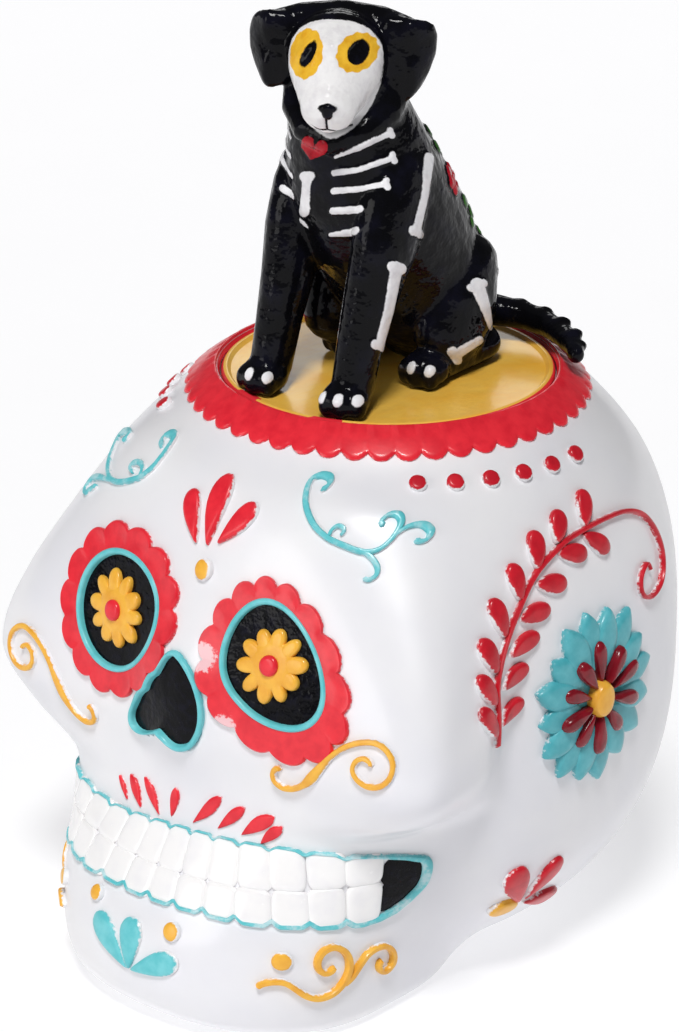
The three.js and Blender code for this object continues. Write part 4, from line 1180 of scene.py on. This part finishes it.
# Rings of petals: from which radius, to which, how many, their width, how much the ring is narrowed towards
# the face and away from it, and its first turn
OUTER_PETALS = (8, 28.0, 16, 9.6, 0.84, 0.98, 0.12)
INNER_PETALS = (4.4, 17.6, 10, 4.9, 0.9, 1.08, 0.3)
LOW_PETALS = [
    (-24.0, 28.9, -33.6, 44.9, 8.6), (-23.2, 29.4, -13.6, 42.8, 7.2), (-21.6, 27.8, -2.6, 22.8, 5.8),
]
LOW_BUD = (-34.4, 28.6, -23.4, 27.4, 5.6)


def ring_of_petals(inner, reach, count, width, ahead, behind, start):
    """Petals round the side flower, every second one taller and no two of one length"""
    places = []
    y, z = FLOWER_MIDDLE
    for i in range(count):
        turn = 2 * math.pi * i / count + start
        far = reach * (1 + 0.05 * math.sin(3.7 * i + 1))
        tall = 1 + 0.2 * (i % 2)
        out = math.cos(turn) * (ahead if math.cos(turn) < 0 else behind)
        up = math.sin(turn)
        places.append((y + inner * out, z + inner * up, y + far * out, z + far * up, width, tall))
    return places


def side_pieces(side, finishes):
    masters = finishes["masters"]
    view = LEFT_VIEW if side > 0 else RIGHT_VIEW
    word = "left" if side > 0 else "right"
    slip = (-0.12 * side, -0.1)

    def here(places):
        return turned_over(places, side)

    branch = [ribbon(here(STEM), 1.9, spacing=0.8)]
    branch += lay(masters["leaf"], here(STEM_LEAVES), 2.1, slip=slip)
    gather(branch, view, f"{word}_temple_branch", finishes["crimson"])
    outer = lay(masters["pointed"], here(ring_of_petals(*OUTER_PETALS)), 2.5, reach=1.12)
    outer += lay(masters["dot"], here(dot_places([FLOWER_PAD])), 1.7)
    gather(outer, view, f"{word}_flower_outer", finishes["teal_dark"])
    inner = here(ring_of_petals(*INNER_PETALS))
    put_on(finishes, "wine", view, f"{word}_flower_inner", "petal", inner, 4.3, reach=TO_THE_SKIN)
    heart_dot = here([FLOWER_HEART])
    put_on(finishes, "yellow", view, f"{word}_flower_heart", "dot", heart_dot, 6.0, reach=TO_THE_SKIN)
    put_on(finishes, "crimson", view, f"{word}_low_petals", "petal", here(LOW_PETALS), 2.0, slip=slip)
    put_on(finishes, "yellow", view, f"{word}_low_bud", "dot", here([LOW_BUD]), 2.0, slip=slip)


def dress_skull(finishes):
    """All the painted ornaments of the skull"""
    finishes["masters"] = make_masters()
    for side in (1, -1):
        eye_pieces(side, finishes)
    nose_pieces(finishes)
    mouth_pieces(finishes)
    face_pieces(finishes)
    crown_pieces(finishes)
    for side in (1, -1):
        side_pieces(side, finishes)
    for master in finishes["masters"].values():
        bpy.data.objects.remove(master)


# The lid's plate and the dog

RED_SMUDGES = ((16, -48.5), (-16, -48.5))  # where the band's red has come up before the front paws


def spun(profile, steps):
    """A turned piece: its section of radius and height is spun about the lid's axis and closed"""
    all_off()
    bpy.ops.mesh.primitive_circle_add(vertices=len(profile), radius=1)
    obj = bpy.context.active_object
    put_coords(obj, [(r, 0, z) for r, z in profile])
    with editing(obj):
        bpy.ops.mesh.spin(steps=steps, angle=2 * math.pi, center=(0, 0, 0), axis=(0, 0, 1))
    face_outwards(obj)
    return obj


def make_plate(material):
    """The lid's plate with its raised rim and, below, the ring that keeps it in the mouth"""
    rim_middle = PLATE_RADIUS - RIM_WIDTH / 2
    ring_inner = RING_OUTER - RING_WALL
    ring_foot = PLATE_BOTTOM - RING_DEPTH
    profile = [
        (0.01, PLATE_BOTTOM), (ring_inner, PLATE_BOTTOM), (ring_inner, ring_foot + 0.8),
        (ring_inner + 0.8, ring_foot), (RING_OUTER - 0.8, ring_foot), (RING_OUTER, ring_foot + 0.8),
        (RING_OUTER, PLATE_BOTTOM), (PLATE_RADIUS - 0.5, PLATE_BOTTOM), (PLATE_RADIUS, PLATE_BOTTOM + 0.5),
        (PLATE_RADIUS, PLATE_TOP - 0.2), (PLATE_RADIUS - 0.35, PLATE_TOP + 0.6),
        (rim_middle + 0.4, PLATE_TOP + RIM_HEIGHT), (rim_middle - 0.4, PLATE_TOP + RIM_HEIGHT),
        (PLATE_RADIUS - RIM_WIDTH + 0.5, PLATE_TOP + 0.4), (PLATE_RADIUS - RIM_WIDTH, PLATE_TOP),
    ]
    profile += [(r, PLATE_TOP) for r in range(46, 3, -3)] + [(0.01, PLATE_TOP)]
    plate = spun(profile, 160)
    across = coords(plate)[:, :2]
    red = np.zeros(len(across))
    for x, y in RED_SMUDGES:
        near = np.hypot((across[:, 0] - x) / 5, (across[:, 1] - y) / 4.5)
        red = np.maximum(red, smooth_step(near, 1.3, 0.7))
    red[np.hypot(*across.T) > PLATE_RADIUS - 0.6] = 1
    put_values(plate, "red", red)
    finish_piece(plate, "lid_plate", material, sharp=35)


def limb(stations, sides=20, across=(1, 0, 0)):
    """A limb drawn out ring by ring through stations of x, y, height, half width and half depth"""
    points = [Vector(s[:3]) for s in stations]
    frames = []
    for i, point in enumerate(points):
        along = (points[min(i + 1, len(points) - 1)] - points[max(i - 1, 0)]).normalized()
        side = (Vector(across) - along * along.dot(Vector(across))).normalized()
        deep = along.cross(side)
        width, depth = stations[i][3:5]
        turn = Matrix((side * width, deep * depth, along)).transposed().to_4x4()
        frames.append((Matrix.Translation(point) @ turn, along, min(width, depth)))

    def cap(i, share, way):
        shape, along, size = frames[i]
        reach = size * math.sqrt(1 - share * share)
        return Matrix.Translation(along * reach * way) @ shape @ Matrix.Diagonal((share, share, 1, 1))

    caps = (0.3, 0.62, 0.87)
    shapes = [cap(0, s, -1) for s in caps] + [f[0] for f in frames]
    shapes += [cap(len(frames) - 1, s, 1) for s in reversed(caps)]
    all_off()
    bpy.ops.mesh.primitive_circle_add(vertices=sides, radius=1, fill_type="NGON")
    obj = bpy.context.active_object
    put_coords(obj, [shapes[0] @ Vector(p) for p in coords(obj) * MM])
    with editing(obj):
        mesh = bmesh.from_edit_mesh(obj.data)
        for before, after in zip(shapes, shapes[1:]):
            bpy.ops.mesh.extrude_region_move()
            carry = Matrix.Scale(MM, 4) @ after @ before.inverted() @ Matrix.Scale(1 / MM, 4)
            for corner in mesh.verts:
                if corner.select:
                    corner.co = carry @ corner.co
        bmesh.update_edit_mesh(obj.data)
    face_outwards(obj)
    return obj


def ball(x, y, z, a, b, c, turn=0.0):
    """A rounded lump of half sizes a, b, c, turned about the upright"""
    all_off()
    bpy.ops.mesh.primitive_uv_sphere_add(segments=24, ring_count=16, radius=MM)
    obj = bpy.context.active_object
    obj.scale = (a, b, c)
    obj.rotation_euler = (0, 0, turn)
    obj.location = (x * MM, y * MM, z * MM)
    settle(obj)
    return obj


HEAD_PLACE = (0.5, -23.5, 105)
HEAD_TURN = math.radians(30)
HEAD_TILT = math.radians(6)


def head_frame():
    """From head measures, facing -Y, to places on the lid, in millimetres"""
    x, y, z = HEAD_PLACE
    place = Matrix.Translation((x, y, z + PLATE_TOP))
    return place @ Matrix.Rotation(HEAD_TURN, 4, "Z") @ Matrix.Rotation(-HEAD_TILT, 4, "X")


def head_limb(stations, sides=20, across=(1, 0, 0)):
    """A limb whose stations are measured from the middle of the head"""
    obj = limb(stations, sides, across)
    carry_by(obj, head_frame())
    return obj


def carry_by(obj, matrix):
    """Carries a lump by a matrix that is in millimetres"""
    put_coords(obj, [matrix @ Vector(p) for p in coords(obj)])


def lifted(stations):
    """Stations whose heights were measured from the plate's top"""
    return [(x, y, z + PLATE_TOP, w, d) for x, y, z, w, d in stations]


# The fore and hind paw of each side: middle, degrees by which it turns outwards, toes with a painted nail
PAWS = {
    -1: (
        {"middle": (-16, -39.5), "turn": 0, "nails": (1, 2)},
        {"middle": (-18, 3), "turn": 0, "nails": (0, 1)},
    ),
    1: (
        {"middle": (16, -39.5), "turn": 25, "nails": (0, 1, 2)},
        {"middle": (18, -4), "turn": 0, "nails": (1, 2)},
    ),
}
TOES = ((-4.5, -3.4), (0, -4.6), (4.5, -3.4))
TRUNK = [
    (0, 21, 8, 21, 14), (0, 17, 18, 23, 20), (0, 10, 30, 23, 23.5), (0, 2, 43, 23, 25),
    (0, -6, 54, 23.5, 25.2), (0, -13, 67, 23.2, 23.2), (0, -17, 80, 20.5, 19.5), (0.3, -20, 92, 17, 15.5),
]


def fore_leg(side):
    """A straight fore leg; the right one is drawn in a little at the elbow"""
    elbow = 1.6 if side < 0 else 0
    return limb(lifted([
        (side * 15.5, -14, 70, 8, 12), (side * (17 - elbow / 2), -19, 60, 8.5, 13),
        (side * (17.6 - elbow), -24, 48, 8.4, 12), (side * (17 - elbow), -29, 35, 7.4, 9.4),
        (side * (16.3 - elbow / 2), -33, 22, 6.6, 7.8), (side * 16, -36.5, 7, 6.3, 6.8),
    ]))


def thigh(side):
    """A folded thigh; the right one is fuller and reaches further forward"""
    ahead = 8 if side < 0 else 0
    return limb(lifted([
        (side * 15, 19 - 0.4 * ahead, 33 + 0.6 * ahead, 9, 12 + 0.3 * ahead),
        (side * 17, 13 - ahead, 22 + 0.3 * ahead, 9.8, 16 + 0.8 * ahead),
        (side * 17.5, 7 - 0.8 * ahead, 12, 8.8, 14 + 0.6 * ahead),
    ]))


def hind_foot(x, y):
    return limb(lifted([(x, y + 27, 6, 6.5, 6), (x, y + 16, 5.4, 6.2, 5.4), (x, y + 5, 5, 6, 5.4)]))


def dog_parts():
    """The lumps of clay from which the dog is built up"""
    parts = [limb(lifted(TRUNK), 32)]
    for side, (fore_paw, hind_paw) in PAWS.items():
        parts.append(fore_leg(side))
        parts += paw_lumps(fore_paw)
        parts.append(thigh(side))
        parts.append(hind_foot(*hind_paw["middle"]))
        parts += paw_lumps(hind_paw)
    return parts + head_lumps()


def toe_steps(paw):
    """From the middle of a paw to its three toes"""
    turn = math.radians(paw["turn"])
    c, s = math.cos(turn), math.sin(turn)
    return [(c * spread - s * reach, s * spread + c * reach) for spread, reach in TOES]


def paw_lumps(paw):
    """A paw with three toes in front"""
    x, y = paw["middle"]
    lumps = [ball(x, y, PLATE_TOP + 5, 7.4, 7.8, 6)]
    for across, ahead in toe_steps(paw):
        lumps.append(ball(x + across, y + ahead, PLATE_TOP + 4.2, 2.9, 3.2, 4.3))
    return lumps


# Stations in head measures, from the back of the head to the muzzle, across the brow and round the ruff
HEAD = [
    (0, 10, -2, 13, 12), (0, 4, -0.5, 15, 14.6), (0, -4, 0, 15.2, 14.2), (0, -9, -4, 13.6, 13.4),
    (0, -13.5, -8.5, 10.6, 10.6), (0, -17.5, -11.5, 8.6, 8.2),
]
BROW = [
    (-19.5, 1, 8.2, 5, 4), (-12, 2.5, 9.6, 5, 4.8), (0, 3, 10.4, 5, 5.4), (12, 2.5, 9.6, 5, 4.8),
    (19.5, 1, 8.0, 5, 4),
]
RUFF = [
    (-12.4, 3, -9, 3.8, 5), (-12.2, -1, -16, 4.4, 5), (-8.6, -7, -21, 4.4, 4.6), (0, -10.4, -24, 4, 4.4),
    (8.6, -8, -21, 4.4, 4.6), (14.4, -2.6, -16, 4.8, 5), (15.6, 3, -10, 4.9, 5.4),
]
# Outlines of the ears in head measures, seen from the front: across and up
RIGHT_EAR = [
    (-15.6, 12.2), (-20.6, 12.9), (-24.6, 12.0), (-27.0, 9.9), (-28.2, 5.8), (-27.9, 0.4), (-26.1, -4.4),
    (-23.7, -8.5), (-21.9, -10.6), (-19.6, -10.9), (-17.2, -10.0), (-14.8, -8.8), (-13.6, -3.5),
    (-13.2, 3), (-13, 8),
]
LEFT_EAR = [
    (13.2, 12.6), (18.8, 12.4), (24.6, 11.4), (27.1, 9.8), (28.2, 6.8), (28, 1.3), (26.3, -4.6),
    (23.6, -9.9), (20.9, -12.6), (18.0, -11.4), (15.8, -7.4), (14.4, -1.9), (13.6, 3.6), (12.6, 9.2),
]
# Section through an ear from its front to its back: share of the outline, and depth
EAR_SECTION = (
    (0, 0), (0.5, 0), (0.82, 0.3), (0.95, 1.1), (1, 2.4), (0.97, 3.8), (0.85, 4.7), (0.5, 5), (0, 5),
)
EAR_CREASE = 22  # how far out from the middle of the head an ear bends back


def head_lumps():
    lengthways = (0, 1, 0)
    return [
        head_limb(HEAD, 28),
        head_limb(BROW, 20, lengthways),
        ear_flap(RIGHT_EAR, -1),
        ear_flap(LEFT_EAR, 1),
        head_limb(RUFF, 20, lengthways),
    ]


def ear_flap(outline, side):
    """An ear that hangs beside the face and bends back along a crease near its outer edge"""
    corners = np.array(outline + outline[:1], dtype=float)
    run = np.concatenate([[0], np.cumsum(np.hypot(*np.diff(corners, axis=0).T))])
    even = np.linspace(0, run[-1], 61)
    rim = np.column_stack([np.interp(even, run, corners[:, k]) for k in (0, 1)])
    middle = rim[:-1].mean(axis=0)
    columns = []
    for share, depth in EAR_SECTION:
        flat = middle + (rim - middle) * share
        off = np.abs(flat[:, 0])
        front = -4.4 + 0.12 * (off - 14) + 0.75 * np.maximum(off - EAR_CREASE, 0)
        front -= 0.9 * np.exp(-((off - EAR_CREASE) / 2.2) ** 2)
        columns.append(np.column_stack([flat[:, 0], front + depth, flat[:, 1]]))
    ear = closed_sheet(columns, side)
    face_outwards(ear)
    carry_by(ear, head_frame())
    return ear


TAIL = [
    (0, 30, 11, 6.5, 6.5), (4, 37, 10, 5.6, 5.4), (11, 42, 9.2, 4.9, 4.8), (19, 44.5, 8.6, 4.4, 4.2),
    (28, 43.8, 8, 4.1, 3.8), (37, 40, 7.4, 3.7, 3.4), (43.5, 36, 6.7, 3.4, 3.0), (47.5, 32.5, 6.1, 3.0, 2.7),
]


def tail_lumps():
    """The tail, laid round the plate, with locks of hair that lie along it"""
    stations = lifted(TAIL)
    path = spline([station[:3] for station in stations], 4.2)
    lumps = [limb(stations, 20, (0, 0, 1))]
    for i, (x, y, z) in enumerate(path[2:-1]):
        size = 2.9 - 0.06 * i
        rise = 2.4 if i % 2 else 0.6
        lumps.append(ball(x * 1.03, y * 1.03, z + rise, size, size * 1.25, size * 0.9, 0.3 * i))
    return lumps


def melt_together(parts, grain, rounds):
    """Joins lumps of clay into one skin and smooths the places where they meet"""
    body = join(parts)
    melt = body.modifiers.new("melt", "REMESH")
    melt.mode = "VOXEL"
    melt.voxel_size = grain * MM
    smooth = body.modifiers.new("smooth", "SMOOTH")
    smooth.factor = 0.5
    smooth.iterations = rounds
    for modifier in ("melt", "smooth"):
        bpy.ops.object.modifier_apply(modifier=modifier)
    return body


FACE_HALF_WIDTH = 15
FACE_FOOT = -23
FACE_HEAD = 14


def refine_face(dog):
    """Cuts the faces of the muzzle and brow finer, so that the small marks there come out crisp"""
    inverse = head_frame().inverted()
    with editing(dog, "DESELECT"):
        mesh = bmesh.from_edit_mesh(dog.data)
        mesh.select_mode = {"FACE"}
        for face in mesh.faces:
            x, y, z = inverse @ (face.calc_center_median() / MM)
            face.select_set(abs(x) < FACE_HALF_WIDTH and y < 0 and FACE_FOOT < z < FACE_HEAD)
        bmesh.update_edit_mesh(dog.data)
        bpy.ops.mesh.subdivide(number_cuts=1, smoothness=0.6)


def make_dog(material):
    """The dog: lumps melted into one skin that starts just under the plate's top, and its paint"""
    dog = melt_together(dog_parts() + tail_lumps(), grain=0.75, rounds=10)
    points = coords(dog)
    points[:, 2] = np.maximum(points[:, 2], PLATE_TOP - 0.6)
    put_coords(dog, points)
    refine_face(dog)
    paint_dog(dog)
    finish_piece(dog, "dog", material, sharp=60)
    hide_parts("dog_lid")


# The dog's paint: each mark is a field over the dog's skin, in mm and positive inside the mark

OUTSIDE = -9.0
LOOK_AZIMUTH = 40
LOOK_ELEVATION = 22.8


def look(azimuth, elevation):
    """The directions towards, right and up of who looks from a side"""
    a, e = math.radians(azimuth), math.radians(elevation)
    toward = np.array([math.sin(a) * math.cos(e), -math.cos(a) * math.cos(e), math.sin(e)])
    right = np.array([math.cos(a), math.sin(a), 0.0])
    return toward, right, np.cross(toward, right)


def line_field(flat, path, radii):
    """How far inside a tapered line of the plane points are"""
    best = np.full(len(flat), OUTSIDE)
    for a, b, ra, rb in zip(path, path[1:], radii, radii[1:]):
        way = b - a
        t = np.clip(((flat - a) @ way) / (way @ way + 1e-9), 0, 1)
        best = np.maximum(best, ra + (rb - ra) * t - np.hypot(*(flat - a - np.outer(t, way)).T))
    return best


def knob_fields(flat, end, way, size, spread):
    """Two round knuckles beside each other at the end of a bone"""
    way = way / np.hypot(*way)
    aside = np.array([way[1], -way[0]]) * spread
    near = np.minimum(np.hypot(*(flat - end - aside).T), np.hypot(*(flat - end + aside).T))
    return size - near


# Bones as the dog's left shows them: path of x, y, height and radius, then the knuckles at start and end.
# The breastbone comes first, then the ribs of one side.
BONES = [
    ([(-2.4, -35, 248.8, 1.4), (-3.9, -34, 243, 1.25), (-5.6, -32.5, 236.6, 1.6)], (1.35, 0.95), None),
    ([(6.9, -33.5, 256.2, 0.35), (12, -29, 258.8, 0.75), (17.2, -20.4, 262.4, 0.8)], None, (0.95, 0.8)),
    ([(6.8, -33.7, 251.4, 0.9), (12.5, -29.5, 252.4, 0.75), (18.9, -21.3, 255.4, 0.8)], None, (1.0, 0.95)),
    ([(6.6, -33.7, 245.8, 0.9), (13, -31, 247, 0.8), (20.2, -25.8, 248.9, 0.85)], None, (1.0, 0.95)),
    ([(6.4, -33.9, 239.7, 1.0), (13.9, -30.4, 240.8, 1.1)], None, None),
    ([(4.4, -32.6, 231.6, 0.5), (9, -32, 233, 0.9), (13.4, -31.6, 234.3, 1.15)], None, None),
    ([(20.8, -7.0, 252.4, 1.5), (24.2, -13, 243, 1.1), (25.3, -18.4, 233.2, 1.3)], None, (1.4, 0.95)),
    ([(25.5, -27.6, 224.6, 1.8), (25, -30.5, 212, 1.5), (23.4, -33, 201.2, 1.4)], (1.6, 1.3), (1.5, 1.1)),
    ([(24.2, 12.6, 207.6, 2.3), (24.5, 16, 200, 1.7), (24.2, 19.6, 192.2, 0.8)], (1.3, 2.0), None),
    ([(21.5, 27.5, 207.6, 1.0), (15.5, 36.4, 198, 0.8)], None, None),
    ([(24.2, 14.1, 189.6, 1.2), (23.6, 8, 188.4, 1.35), (23.2, 3.3, 187.4, 1.5)], None, (1.6, 1.3)),
]
RIBS = 5
HEART_MARK = (
    [(-2.6, -34.6, 258.4, 1.9), (-0.5, -35.2, 255.2, 0.8)],
    [(2.7, -34.6, 258.2, 1.9), (-0.5, -35.2, 255.2, 0.8)],
)


def mark_field(points, normals, mark, side, within=11):
    """A bone or stroke painted square to a three-quarter view of the given side of the dog"""
    path, start_knob, end_knob = mark
    toward, right, up = look(LOOK_AZIMUTH * side, LOOK_ELEVATION)
    path = np.array(path) * [side, 1, 1, 1]
    plane = np.column_stack([right, up])
    flat = points @ plane
    line = path[:, :3] @ plane
    field = line_field(flat, line, path[:, 3])
    if start_knob:
        field = np.maximum(field, knob_fields(flat, line[0], line[1] - line[0], *start_knob))
    if end_knob:
        field = np.maximum(field, knob_fields(flat, line[-1], line[-2] - line[-1], *end_knob))
    along = line[-1] - line[0]
    share = np.clip(((flat - line[0]) @ along) / (along @ along), 0, 1)
    deep = path[0, :3] @ toward + share * ((path[-1, :3] - path[0, :3]) @ toward)
    seen = (normals @ toward > 0.05) & (np.abs(points @ toward - deep) < within)
    return np.where(seen, field, OUTSIDE)


def most(fields):
    """Several marks of one paint as one field"""
    return np.maximum.reduce(list(fields))


def oval_field(across, up, centre, half_width, half_height, lean=0.0, ragged=0.0, lobes=11):
    """An oval of the face, which may lean and have a ragged edge"""
    c, s = math.cos(lean), math.sin(lean)
    u = ((across - centre[0]) * c + (up - centre[1]) * s) / half_width
    v = ((up - centre[1]) * c - (across - centre[0]) * s) / half_height
    edge = 1 + ragged * np.sin(lobes * np.arctan2(v, u))
    return (edge - np.hypot(u, v)) * min(half_width, half_height)


def face_field(across, up):
    """The white of the face: wide over the eyes and narrow at the chin"""
    wide = np.abs(across / 14)
    rise = up - 1.5
    above = (wide**2.3 + np.abs(rise / 12.2) ** 2.3) ** (1 / 2.3)
    below = (wide**2.1 + np.abs(rise / 22.2) ** 2.1) ** (1 / 2.1)
    below += 0.12 * np.maximum(-rise / 22, 0) * wide
    return (1 - np.where(rise > 0, above, below)) * 13


# Ovals of the face: middle across and up, half width and half height, lean, raggedness and its lobes
YELLOW_OVALS = [((-7.5, 4.2), 5.4, 6.8, -0.3, 0.03, 10), ((7.3, 5.3), 5.4, 5.2, 0, 0.035, 12)]
EYE_OVALS = [((-6.9, 4.6), 1.9, 4.3, -0.5), ((8.0, 5.6), 2.9, 3.4)]
SNOUT_OVALS = [((0.8, -9.4), 2.6, 1.4), ((0.8, -10.6), 1.5, 2.0)]
# Strokes of the mouth: their path, and radii along it
MOUTH_STROKES = [
    ([(0.4, -12.4), (0.3, -16.2)], (0.4, 0.35)),
    ([(-4.4, -15.4), (-2.2, -16.7), (0.3, -16.4), (2.9, -17.2), (5.8, -16.6)], (0.2, 0.4, 0.4, 0.4, 0.2)),
]
NAIL_HALF = (1.5, 2.3, 2.0)
ROSE = (17.5, 7.5, 241.5)
# Leaves round the rose: middle and radius
BACK_LEAVES = [
    (12.5, 3.5, 257, 2.6), (15, 2.6, 252, 2.4), (15.5, 8, 250, 2.2), (18, 15.5, 233, 2.6),
    (16, 19.5, 228, 2.6), (19.6, 17.5, 226, 2.3), (15, 23, 220, 2.2),
]


def bone_field(points, normals):
    """All bones: those of the left side, and their likeness on the right, where the ribs start later"""
    fields = [mark_field(points, normals, mark, 1) for mark in BONES]
    for i, (path, start_knob, end_knob) in enumerate(BONES[1:]):
        rib = i < RIBS
        if rib:
            start = 0.45 * np.array(path[0]) + 0.55 * np.array(path[1])
            path = [tuple(start), *path[1:]]
        if i == RIBS - 1:
            path = path[:2]
        mark = (path, start_knob, end_knob)
        fields.append(mark_field(points, normals, mark, -1, 5 if rib else 11))
    return most(fields)


def nail_field(points):
    fields = []
    for paw in (*PAWS[-1], *PAWS[1]):
        x, y = paw["middle"]
        for toe in paw["nails"]:
            across, ahead = toe_steps(paw)[toe]
            nail = np.array([x + across * 1.25, y + ahead * 1.25 - 1.2, PLATE_TOP + 7.2])
            fields.append(1 - np.linalg.norm((points - nail) / NAIL_HALF, axis=1))
    return most(fields) * 1.3


def face_fields(points, normals):
    """The white face and what is painted on it, and where on the dog that is"""
    inverse = np.array(head_frame().inverted())
    turn = inverse[:3, :3].T
    x, y, z = (points @ turn + inverse[:3, 3]).T
    across, up = x - 0.1, z + 1.8
    front = (-(normals @ turn)[:, 1] > 0.02) & (y < 3) & (points[:, 2] > 258)
    flat = np.column_stack([across, up])
    face = np.where(front, face_field(across, up), OUTSIDE)
    yellow = np.where(front, most(oval_field(across, up, *oval) for oval in YELLOW_OVALS), OUTSIDE)
    eyes = most(oval_field(across, up, *oval) for oval in EYE_OVALS)
    snout = most(oval_field(across, up, *oval) for oval in SNOUT_OVALS)
    mouth = most(line_field(flat, np.array(path), radii) for path, radii in MOUTH_STROKES)
    dark = np.where(front & (y < -1), most([eyes, snout, mouth]), OUTSIDE)
    return front, face, yellow, eyes, snout, mouth, dark


def rose_fields(points):
    """A rose with leaves round it on each side of the back"""

    def blob(middle, radius):
        return radius - np.linalg.norm(points - middle, axis=1)

    rose, leaf = [], []
    for side in (1, -1):
        out = np.array([0.62 * side, 0.72, 0.3])
        along = np.cross(out, UP)
        up = np.cross(along, out)
        middle = np.array(ROSE) * [side, 1, 1]
        for petal in range(6):
            turn = petal * math.pi / 3
            rose.append(blob(middle + 3.6 * (math.cos(turn) * along + math.sin(turn) * up), 2.0))
        rose.append(blob(middle, 1.8))
        leaf += [blob(np.array([x * side, y, z]), radius) for x, y, z, radius in BACK_LEAVES]
    rose = most(rose)
    return rose, np.where(rose > -0.6, OUTSIDE, most(leaf))


def paint_dog(dog):
    """Reads every mark on the dog's skin, keeps it for the glaze, and lets the thick marks stand proud"""
    points = coords(dog)
    normals = np.empty(len(points) * 3)
    dog.data.vertex_normals.foreach_get("vector", normals)
    normals = normals.reshape(-1, 3)
    bones = np.maximum(bone_field(points, normals), nail_field(points))
    heart_mark = most(mark_field(points, normals, (stroke, None, None), 1) for stroke in HEART_MARK)
    front, face, yellow, eyes, snout, mouth, dark = face_fields(points, normals)
    rose, leaf = rose_fields(points)

    def raised(field, height, low, high):
        return height * smooth_step(field, low, high)

    proud = raised(bones, 0.5, -0.4, 0.5) + raised(face, 0.25, -0.6, 0.8) + raised(heart_mark, 0.4, -0.4, 0.5)
    proud += raised(rose, 0.9, -0.6, 0.8) + raised(leaf, 0.8, -0.6, 0.8) - raised(yellow, 0.5, -0.8, 2.0)
    features = raised(snout, 0.9, -0.5, 0.9) - raised(mouth, 0.5, -0.5, 0.3) - raised(eyes, 1.1, -0.5, 1.4)
    proud += np.where(front, features, 0)
    put_coords(dog, points + normals * proud[:, None])
    fields = {
        "bone": bones, "face": face, "yellow": yellow, "dark": dark, "red": np.maximum(heart_mark, rose),
        "leaf": leaf,
    }
    for name, field in fields.items():
        put_values(dog, name, np.clip(0.5 + field / 4, 0, 1))


# Floor, light and camera

# In metres, and degrees in LOOK_AZIMUTH and LOOK_ELEVATION
CAMERA_PLACE = Vector((0.7705, -0.9415, 0.6408))
FOCAL_LENGTH = 147.8
SENSOR_WIDTH = 36
FAR_CLIP = 20
FLOOR_SIZE = 80
PAPER_GLOW = 0.6
WORLD_STRENGTH = 0.1
JAR_MIDDLE = Vector((0, -0.01, 0.14))


def make_camera():
    toward, right, up = look(LOOK_AZIMUTH, LOOK_ELEVATION)
    lens = bpy.data.cameras.new("camera")
    lens.lens = FOCAL_LENGTH
    lens.sensor_width = SENSOR_WIDTH
    lens.clip_end = FAR_CLIP
    camera = bpy.data.objects.new("camera", lens)
    bpy.context.collection.objects.link(camera)
    turn = Matrix((right, up, toward)).transposed().to_4x4()
    camera.matrix_world = Matrix.Translation(CAMERA_PLACE) @ turn
    bpy.context.scene.camera = camera


def add_lamp(name, kind, place, way, power, colour):
    """A lamp at a place that shines along a way"""
    lamp = bpy.data.lights.new(name, kind)
    lamp.energy = power
    lamp.color = colour
    obj = bpy.data.objects.new(name, lamp)
    bpy.context.collection.objects.link(obj)
    obj.location = place
    obj.rotation_euler = way.to_track_quat("-Z", "Y").to_euler()
    return lamp


def soft_light(name, place, size, power, colour):
    """A round soft lamp that is turned to the jar"""
    lamp = add_lamp(name, "AREA", place, JAR_MIDDLE - Vector(place), power, colour)
    lamp.shape = "DISK"
    lamp.size = size


def broad_light(name, towards, spread, strength, colour):
    """Light from far away in one direction, with shadows softened over a spread in degrees"""
    lamp = add_lamp(name, "SUN", towards, -Vector(towards), strength, colour)
    lamp.angle = math.radians(spread)


def make_studio():
    """Pale paper below and all round, which glows a little as lit paper does, and three lights"""
    all_off()
    bpy.ops.mesh.primitive_plane_add(size=FLOOR_SIZE, location=(0, 0, 0))
    floor = bpy.context.active_object
    floor.name = "floor"
    paper = Finish("pale_paper")
    fibre = paper.mix(paper.noise(60, 3.0), (0.5, 0.5, 0.5), (0.48, 0.48, 0.48))
    paper.set(Base_Color=fibre, Roughness=0.9, Emission_Color=(0.98, 0.98, 1), Emission_Strength=PAPER_GLOW)
    floor.data.materials.append(paper.material)
    world = bpy.data.worlds.new("studio")
    world.use_nodes = True
    background = world.node_tree.nodes["Background"].inputs
    background["Color"].default_value = (0.95, 0.96, 1, 1)
    background["Strength"].default_value = WORLD_STRENGTH
    bpy.context.scene.world = world
    broad_light("key", (-0.35, -1.4, 0.4), spread=28, strength=0.66, colour=(1, 0.99, 0.98))
    broad_light("right", (0.5, -0.75, 1.6), spread=14, strength=2.15, colour=(1, 0.995, 0.985))
    soft_light("back", (-1.6, 1.95, 1.25), size=0.9, power=3.5, colour=(1, 1, 1))
    bpy.context.scene.view_settings.view_transform = "Standard"


make_skull(white_glaze())
finishes = {
    "red": painted("red_paint", RED, RED_DEEP),
    "frill": painted("red_paint_frill", RED, RED_DEEP, faded=PINK),
    "wine": painted("wine_paint", WINE, WINE_DEEP, gloss=0.16),
    "teal": painted("teal_paint", TEAL, TEAL_PALE),
    "crimson": painted("crimson_paint", CRIMSON, CRIMSON_DEEP),
    "teal_dark": painted("teal_paint_dark", TEAL_DARK, TEAL_MIDDLE),
    "teal_worn": painted("teal_paint_worn", TEAL, TEAL_PALE, thin=0.5),
    "teal_scroll": painted("teal_paint_scroll", TEAL, TEAL_PALE, thin=0.35),
    "yellow": painted("yellow_paint", YELLOW, YELLOW_DEEP),
    "tooth": tooth_glaze(),
    "socket": socket_glaze(),
}
dress_skull(finishes)
make_plate(amber_plate())
make_dog(dog_glaze())

make_camera()
make_studio()
